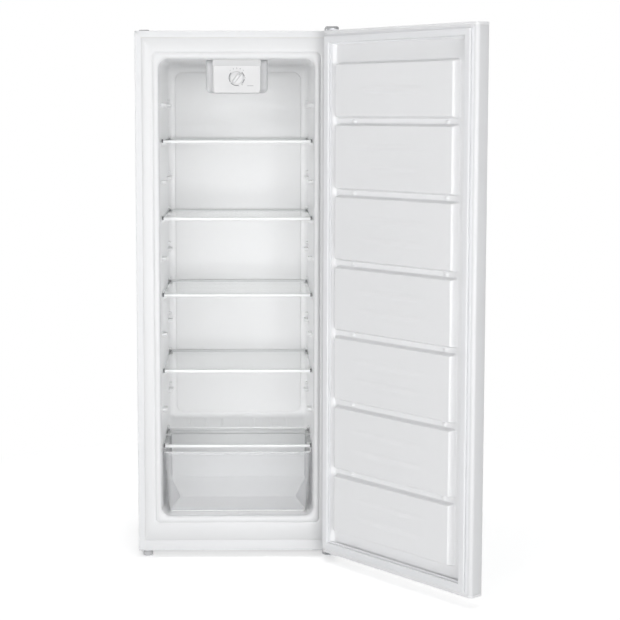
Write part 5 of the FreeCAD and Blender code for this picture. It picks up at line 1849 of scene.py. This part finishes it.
    def grid(self) -> tuple[np.ndarray, np.ndarray]:
        """The lines of the liner's grid, close together at its bends.

        Returns:
            The lines across and the lines up.
        """
        edge = self.flange - 0.0006
        left, right = self.free + self.pad_left, self.hinge - self.pad_right
        columns = ruled(
            self.free + edge, self.hinge - edge,
            [
                (self.free + 0.013, self.free + 0.017), (self.free + 0.033, self.free + 0.049),
                (left - 0.011, left + 0.008), (-0.440, -0.420), (-0.106, -0.086), (right - 0.008, right + 0.011),
                (self.hinge - 0.049, self.hinge - 0.033), (self.hinge - 0.017, self.hinge - 0.013),
            ],
            0.0016, 0.014,
        )
        zones = [(middle - 0.0185, middle + 0.0185) for middle in self.channels()]
        foot, head = self.low + self.pad_foot, self.high - self.pad_head
        zones += [
            (self.low + 0.013, self.low + 0.017), (self.low + 0.024, self.low + 0.040), (foot - 0.006, foot + 0.007),
            (head - 0.007, head + 0.006), (self.high - 0.043, self.high - 0.027),
            (self.high - 0.017, self.high - 0.013),
        ]
        for number, (start, end) in enumerate(self.pad_spans()):
            for share in self.grooves(number):
                middle = start + (end - start) * share
                zones.append((middle - 0.015, middle + 0.011))
        low, high = self.low + self.cap + 0.0002, self.high - self.cap - 0.0002
        return columns, ruled(low, high, sorted(zones), 0.0018, 0.015)

    def liner(self) -> None:
        """Build the formed liner."""
        columns, rows = self.grid()
        across, up = np.meshgrid(columns, rows)
        height = self.relief(across, up)
        skins = [
            [
                [Vector((u, self.inner + height[j, i] - drop, z)) for i, u in enumerate(columns)]
                for j, z in enumerate(rows)
            ]
            for drop in (0.0, 0.002)
        ]
        shape = Shape()
        shape.sheet(skins[0], skins[1], Finish.DOOR_LINER)
        shape.finish("door_liner_form", Body.DOOR, "white_liner_plastic", ["door_liner"], turn=self.turn, smooth=60.0)

    def foam(self) -> None:
        """Build the foam that fills the door between the skin and the liner."""
        gap = self.sheet + 0.0001
        outline = softened(
            [
                (self.free + self.flange, self.inner - gap), (self.free + gap, self.inner - gap),
                (self.free + gap, self.outer + gap), (self.hinge - gap, self.outer + gap),
                (self.hinge - gap, self.inner - gap), (self.hinge - self.flange, self.inner - gap),
            ],
            [0, self.inner_round - gap, self.outer_round - gap, self.outer_round - gap, self.inner_round - gap, 0],
            6,
            closed=False,
        )
        columns, rows = self.grid()
        left, right = self.free + self.flange + self.sheet, self.hinge - self.flange - self.sheet
        columns = columns[(columns > left) & (columns < right)][::-1]
        rings = []
        for z in rows:
            level = self.relief(columns, np.full(len(columns), z))
            top = [(u, self.inner + height - 0.003) for u, height in zip(columns, level)]
            rings.append([Vector((u, v, z)) for u, v in outline + top])
        shape = Shape()
        shape.loft(rings, Finish.FOAM)
        shape.finish("door_foam_fill", Body.DOOR, "insulation_foam", ["door_foam"], turn=self.turn)

    def gasket(self) -> None:
        """Build the soft seal as one mitred frame with a base web, a bellows and a magnet bulb."""
        profile = [
            (0.0120, 0.0000), (0.0380, 0.0000), (0.0386, 0.0010), (0.0372, 0.0019), (0.0335, 0.0022), (0.0325, 0.0034),
            (0.0338, 0.0046), (0.0345, 0.0058), (0.0342, 0.0094), (0.0330, 0.0110), (0.0312, 0.0115), (0.0188, 0.0115),
            (0.0168, 0.0110), (0.0156, 0.0094), (0.0153, 0.0072), (0.0166, 0.0058), (0.0184, 0.0050), (0.0186, 0.0040),
            (0.0172, 0.0028), (0.0140, 0.0021), (0.0118, 0.0016), (0.0113, 0.0008),
        ]
        profile = softened(profile, [0.0004] * len(profile), 2)
        shape = Shape()
        slot = shape.slot_of(Finish.SEAL)
        loops = []
        for inset, rise in profile:
            loops.append([shape.mesh.verts.new((u, self.inner + rise, z)) for u, z in self.rectangle(inset)])
        for n, loop in enumerate(loops):
            after = loops[(n + 1) % len(loops)]
            for c in range(4):
                d = (c + 1) % 4
                shape.mesh.faces.new((loop[c], loop[d], after[d], after[c])).material_index = slot
        for edge in shape.mesh.edges:
            edge.smooth = True
        shape.finish("door_seal", Body.DOOR, "seal_rubber", ["door_gasket"], turn=self.turn, smooth=55.0)

    def stop(self) -> None:
        """Build the small plastic stop under the hinge corner."""
        shape = Shape()
        outline = softened(
            [(-0.046, self.inner - 0.003), (-0.016, self.inner - 0.003), (-0.016, self.inner - 0.025)],
            [0.003, 0.002, 0.003],
            4,
        )
        shape.prism(outline, Axis.Z, self.low - 0.0035, self.low + 0.0002, Finish.TRIM_WHITE, soft=0.0006)
        shape.finish("door_stop_moulding", Body.DOOR, "white_moulded_plastic", ["door_stop"], turn=self.turn)

    def build(self) -> None:
        """Build the whole door."""
        self.skin()
        self.end_cap("door_bottom_cap", self.low + self.cap, self.low)
        self.end_cap("door_top_cap", self.high - self.cap, self.high)
        self.liner()
        self.foam()
        self.gasket()
        self.stop()


# ---------------------------------------------------------------------------
# Hinges and feet
# ---------------------------------------------------------------------------
@dataclass
class Hardware:
    """The hinge cover, the hole plug, the screws and the feet."""

    foot_x: float = 0.251
    foot_y: float = -0.220

    def cover(self) -> None:
        """Build the cap over the upper hinge."""
        shape = Shape()
        middle, half = (0.2581, -0.2220), (0.0184, 0.0235)
        rise = (
            (0.0, 0.0), (0.0, 0.0075), (0.0004, 0.0095), (0.0014, 0.0113), (0.0032, 0.0126), (0.0060, 0.013),
            (0.0105, 0.0129),
        )
        steps = [(inset, TOP + height) for inset, height in rise]
        shape.stack(middle, half, steps, lambda inset: max(0.001, 0.005 - inset * 0.3), Finish.TRIM_GREY, 6)
        shape.finish("upper_hinge_cap", Body.CABINET, "grey_plastic", ["upper_hinge_cover"])

    def plug(self) -> None:
        """Build the plug in the unused hinge holes."""
        shape = Shape()
        middle, half = (-0.2495, -0.230), (0.0135, 0.010)
        rise = ((0.0, -0.0002), (0.0, 0.0016), (0.0006, 0.0026), (0.0020, 0.003), (0.0055, 0.0029), (0.0065, 0.0024))
        steps = [(inset, TOP + height) for inset, height in rise]
        shape.stack(middle, half, steps, lambda inset: max(0.001, 0.0045 - inset * 0.4), Finish.TRIM_GREY, 5)
        shape.finish("hinge_hole_cap", Body.CABINET, "grey_plastic", ["hinge_hole_plug"])

    def screws(self) -> None:
        """Build the pan-head screws with their cross slots."""
        shape = Shape()
        pivot = PIVOT.x
        upper = [(pivot - 0.007, FRONT + 0.014), (pivot + 0.007, FRONT + 0.026), (pivot - 0.007, FRONT + 0.038)]
        lower = [(0.2192, FRONT + 0.016), (0.2192, FRONT + 0.036)]
        for spots, seat, way in ((upper, TOP + 0.003, 1), (lower, BASE - 0.003, -1)):
            for x, y in spots:
                at = Vector((x, y, seat))
                head = [
                    (0.0, -way * 0.015), (0.0022, -way * 0.015), (0.0025, -way * 0.013), (0.0025, 0.0), (0.005, 0.0),
                    (0.005, way * 0.0011), (0.0044, way * 0.0019), (0.0032, way * 0.0024), (0.0022, way * 0.0025),
                    (0.0021, way * 0.0014), (0.0, way * 0.0010),
                ]
                shape.turned(head, at, Finish.ZINC, 24)
        shape.finish("hinge_screw_set", Body.CABINET, "zinc_steel", ["hinge_screws"])

    def front_foot(self, side: str, sign: int, seat: float, body: Body, ring: Repeater) -> None:
        """Build one ribbed screw foot.

        Args:
            side: Its side, for the names.
            sign: 1 for the right foot and -1 for the left.
            seat: The height that its neck reaches.
            body: The body that it is.
            ring: The tree that repeats a part round a ring.
        """
        shape = Shape()
        at = Vector((sign * self.foot_x, self.foot_y, 0.0))
        pad = [
            (0.0, 0.0), (0.0118, 0.0), (0.0129, 0.0008), (0.0132, 0.0020), (0.0132, 0.0088), (0.0127, 0.0104),
            (0.0112, 0.0116), (0.0090, 0.0120), (0.0090, seat - 0.00006), (0.005, seat - 0.00006),
        ]
        thread = []
        height = seat + 0.0004
        while height < 0.0415:
            thread += [(0.0046, height), (0.005, height + 0.0004), (0.005, height + 0.0007), (0.0046, height + 0.0011)]
            height += 0.00125
        shape.turned(pad + thread + [(0.0044, 0.042), (0.0, 0.042)], at, Finish.FOOT_PLASTIC, 40)
        rib = Shape()
        outline = softened(
            [(-0.0008, -0.0009), (0.0008, -0.0009), (0.0008, 0.0009), (-0.0008, 0.0009)], [0.0003] * 4, 2
        )
        rib.prism(outline, Axis.Z, 0.0016, 0.0092, Finish.FOOT_PLASTIC)
        ribs = ring.run(f"foot_ribs_{side}", rib, Finish.FOOT_PLASTIC, Count=30, Start=at, Radius=0.0131)
        shape.mesh.from_mesh(ribs)
        bpy.data.meshes.remove(ribs)
        shape.finish(f"levelling_foot_{side}", body, "grey_plastic", [f"front_foot_{side}"])

    def rear(self) -> None:
        """Build the fixed rear feet with their hollow ribs."""
        shape = Shape()
        for sign in (-1, 1):
            x, y, half = sign * 0.245, 0.218, 0.016
            steps = ((0.0020, 0.0), (0.0012, 0.0006), (0.0008, 0.0018), (0.0, 0.0185), (0.0, 0.020))
            shape.stack((x, y), (half, half), steps, lambda inset: 0.003, Finish.TRIM_GREY, 4)
            for place in (-0.008, 0.0, 0.008):
                shape.block(
                    (x + place - 0.0008, y + half - 0.0010, 0.002),
                    (x + place + 0.0008, y + half, 0.0195),
                    Finish.TRIM_GREY,
                    0.0003,
                )
        shape.finish("rear_foot_blocks", Body.CABINET, "grey_plastic", ["rear_feet"])

    def build(self, ring: Repeater) -> None:
        """Build all of it.

        Args:
            ring: The tree that repeats a part round a ring.
        """
        self.cover()
        self.plug()
        self.screws()
        self.front_foot("left", -1, BASE, Body.FOOT_LEFT, ring)
        self.front_foot("right", 1, BASE - 0.003, Body.FOOT_RIGHT, ring)
        self.rear()


# ---------------------------------------------------------------------------
# Finishes of the CAD nodes that stay
# ---------------------------------------------------------------------------
@dataclass
class KeptNodes:
    """The CAD nodes whose own shape is right, with their finishes."""

    finishes: dict[str, Finish] = field(
        default_factory=lambda: {
            "cabinet_foam": Finish.FOAM,
            "compressor_bay_panel": Finish.SPANGLE,
            "compressor_tray": Finish.SPANGLE,
            "compressor_mount_plate": Finish.STEEL_BLACK,
            "compressor_shell_lower": Finish.STEEL_BLACK,
            "compressor_shell_upper": Finish.STEEL_BLACK,
            "compressor_pump": Finish.IRON,
            "compressor_grommets": Finish.RUBBER,
            "compressor_studs": Finish.ZINC,
            "start_relay_box": Finish.BLACK_PLASTIC,
            "cord_gland": Finish.RUBBER,
            "filter_drier": Finish.COPPER,
            "suction_pipe": Finish.COPPER,
            "discharge_pipe": Finish.COPPER,
            "condenser_tubes": Finish.STEEL_TUBE,
            "evaporator_plate": Finish.ALU_SHEET,
            "evaporator_tube": Finish.ALU_TUBE,
            "thermostat_switch": Finish.TRIM_GREY,
            "hinge_bushes": Finish.TRIM_GREY,
            "hinge_pins": Finish.ZINC,
            "upper_hinge_bracket": Finish.ZINC,
            "lower_hinge_bracket": Finish.ZINC,
            "gasket_magnets": Finish.MAGNET,
        }
    )

    def dress(self) -> None:
        """Put each finish on its node."""
        for name, finish in self.finishes.items():
            piece = bpy.data.objects[name]
            piece.data.materials.clear()
            piece.data.materials.append(finish.material)
            log.info("%s: %s", name, finish.value.name)


# ---------------------------------------------------------------------------
# Studio
# ---------------------------------------------------------------------------
@dataclass
class Lamp:
    """One soft area lamp."""

    name: str
    place: tuple[float, float, float]
    aim: tuple[float, float, float]
    size: tuple[float, float]
    power: float
    spread: float = math.pi

    def build(self) -> None:
        """Hang the lamp."""
        light = bpy.data.lights.new(self.name, "AREA")
        light.shape = "RECTANGLE"
        light.size, light.size_y = self.size
        light.energy = self.power
        light.spread = self.spread
        holder = bpy.data.objects.new(self.name, light)
        bpy.context.scene.collection.objects.link(holder)
        holder.location = self.place
        holder.rotation_euler = (Vector(self.aim) - Vector(self.place)).to_track_quat("-Z", "Y").to_euler()


@dataclass
class Studio:
    """The floor, the white surroundings, the lamps and the camera."""

    lens: float = 87.445
    place: tuple[float, float, float] = (0.0404, -4.3507, 1.2300)
    shift: tuple[float, float] = (0.06, -0.078)
    turn: float = 0.805
    drop: float = 5.591
    dome: float = 0.08
    floor_glow: float = 0.55
    floor_near: float = 0.5
    floor_far: float = 1.5
    lamps: tuple[Lamp, ...] = (
        Lamp("low_lamp", (0.1, -5.2, 0.35), (0.05, 0.0, 0.9), (3.0, 0.6), 50.0),
        Lamp("front_left_lamp", (-2.4, -5.6, 1.8), (0.1, 0.0, 0.8), (2.0, 2.4), 73.0),
        Lamp("front_right_lamp", (2.2, -5.6, 1.2), (0.0, 0.0, 0.8), (2.0, 2.0), 67.0),
        Lamp("low_left_lamp", (-2.9, -4.0, 0.3), (0.05, 0.0, 1.0), (2.2, 0.5), 40.0),
        Lamp("low_right_lamp", (3.0, -4.0, 0.3), (0.0, 0.0, 1.0), (2.2, 0.5), 30.0),
        Lamp("top_lamp", (0.0, -0.6, 4.2), (0.0, 0.0, 0.0), (3.0, 3.0), 52.0),
        Lamp("drawer_lamp", (0.0, -1.25, 1.95), (0.0, -0.06, 0.13), (0.3, 0.2), 0.055, math.radians(18.0)),
        Lamp("back_lamp", (0.4, 3.8, 2.2), (0.0, 0.0, 0.7), (2.6, 2.2), 60.0),
    )

    def world(self) -> None:
        """Light softly from all round, and show white behind the object."""
        world = bpy.data.worlds.new("studio")
        bpy.context.scene.world = world
        world.use_nodes = True
        nodes, links = world.node_tree.nodes, world.node_tree.links
        nodes.clear()
        path = nodes.new("ShaderNodeLightPath")
        seen = nodes.new("ShaderNodeMath")
        seen.operation = "MAXIMUM"
        links.new(path.outputs["Is Camera Ray"], seen.inputs[0])
        links.new(path.outputs["Is Transmission Ray"], seen.inputs[1])
        also = nodes.new("ShaderNodeMath")
        also.operation = "MAXIMUM"
        links.new(seen.outputs[0], also.inputs[0])
        links.new(path.outputs["Is Glossy Ray"], also.inputs[1])
        soft = nodes.new("ShaderNodeBackground")
        soft.inputs["Color"].default_value = (0.96, 0.98, 1.0, 1.0)
        soft.inputs["Strength"].default_value = self.dome
        white = nodes.new("ShaderNodeBackground")
        white.inputs["Color"].default_value = (1.0, 1.0, 1.0, 1.0)
        white.inputs["Strength"].default_value = 1.0
        mix = nodes.new("ShaderNodeMixShader")
        links.new(also.outputs[0], mix.inputs[0])
        links.new(soft.outputs[0], mix.inputs[1])
        links.new(white.outputs[0], mix.inputs[2])
        out = nodes.new("ShaderNodeOutputWorld")
        links.new(mix.outputs[0], out.inputs["Surface"])

    def floor(self) -> None:
        """Lay the pale floor, which keeps the object's shadow."""
        data = bpy.data.meshes.new("studio_floor")
        reach = 9.0
        data.from_pydata(
            [(-reach, -reach, 0), (reach, -reach, 0), (reach, reach, 0), (-reach, reach, 0)], [], [(0, 1, 2, 3)]
        )
        floor = bpy.data.objects.new("studio_floor", data)
        bpy.context.scene.collection.objects.link(floor)
        s = Shading("pale_floor")
        path = s.add("LightPath")
        plain = s.add("BsdfDiffuse", Color=(0.90, 0.90, 0.90, 1.0))
        glow = s.add("Emission", Color=(1.0, 1.0, 1.0, 1.0), Strength=self.floor_glow)
        both = s.add("AddShader")
        s.links.new(plain.outputs[0], both.inputs[0])
        s.links.new(glow.outputs[0], both.inputs[1])
        near = s.add("MixShader", Fac=path.outputs["Is Camera Ray"])
        s.links.new(plain.outputs[0], near.inputs[1])
        s.links.new(both.outputs[0], near.inputs[2])
        white = s.add("Emission", Color=(1.0, 1.0, 1.0, 1.0), Strength=1.0)
        centre = s.add("Mapping", Vector=s.place, Location=(-0.15, 0.15, 0.0)).outputs["Vector"]
        away = s.nodes.new("ShaderNodeVectorMath")
        away.operation = "LENGTH"
        s.links.new(centre, away.inputs[0])
        spread = s.ramp(away.outputs["Value"], 0.0, 1.0, self.floor_near, self.floor_far)
        far = s.nodes.new("ShaderNodeMath")
        far.operation = "MULTIPLY"
        s.links.new(spread, far.inputs[0])
        s.links.new(path.outputs["Is Camera Ray"], far.inputs[1])
        whole = s.add("MixShader", Fac=far.outputs[0])
        s.links.new(near.outputs[0], whole.inputs[1])
        s.links.new(white.outputs[0], whole.inputs[2])
        data.materials.append(s.close(whole))

    def camera(self) -> None:
        """Set the camera where the photograph's was, with its axis nearer the picture's middle."""
        lens = bpy.data.cameras.new("camera")
        lens.sensor_width = 36.0
        lens.lens = self.lens
        lens.shift_x, lens.shift_y = self.shift
        holder = bpy.data.objects.new("camera", lens)
        bpy.context.scene.collection.objects.link(holder)
        holder.location = self.place
        holder.rotation_euler = (math.radians(90 - self.drop), 0.0, math.radians(-self.turn))
        bpy.context.scene.camera = holder

    def build(self) -> None:
        """Set up the studio."""
        bpy.context.scene.view_settings.view_transform = "Standard"
        self.world()
        self.floor()
        for lamp in self.lamps:
            lamp.build()
        self.camera()


def main() -> None:
    """Build the freezer and its studio."""
    logging.basicConfig(level=logging.INFO, format="%(name)s %(message)s")
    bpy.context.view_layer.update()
    Studio().build()
    line = Repeater("repeat_along_line", ring=False)
    ring = Repeater("repeat_round_ring", ring=True)
    CabinetShell().build()
    CabinetLiner().build(line)
    Thermostat().build()
    for number, under in enumerate(SHELF_UNDERS, start=1):
        GlassShelf(number, under, LOW_SHELF_TAIL if number == 1 else SHELF_TAIL).build()
    Drawer().build()
    Door().build()
    Hardware().build(ring)
    KeptNodes().dress()


if __name__ == "__main__":
    main()
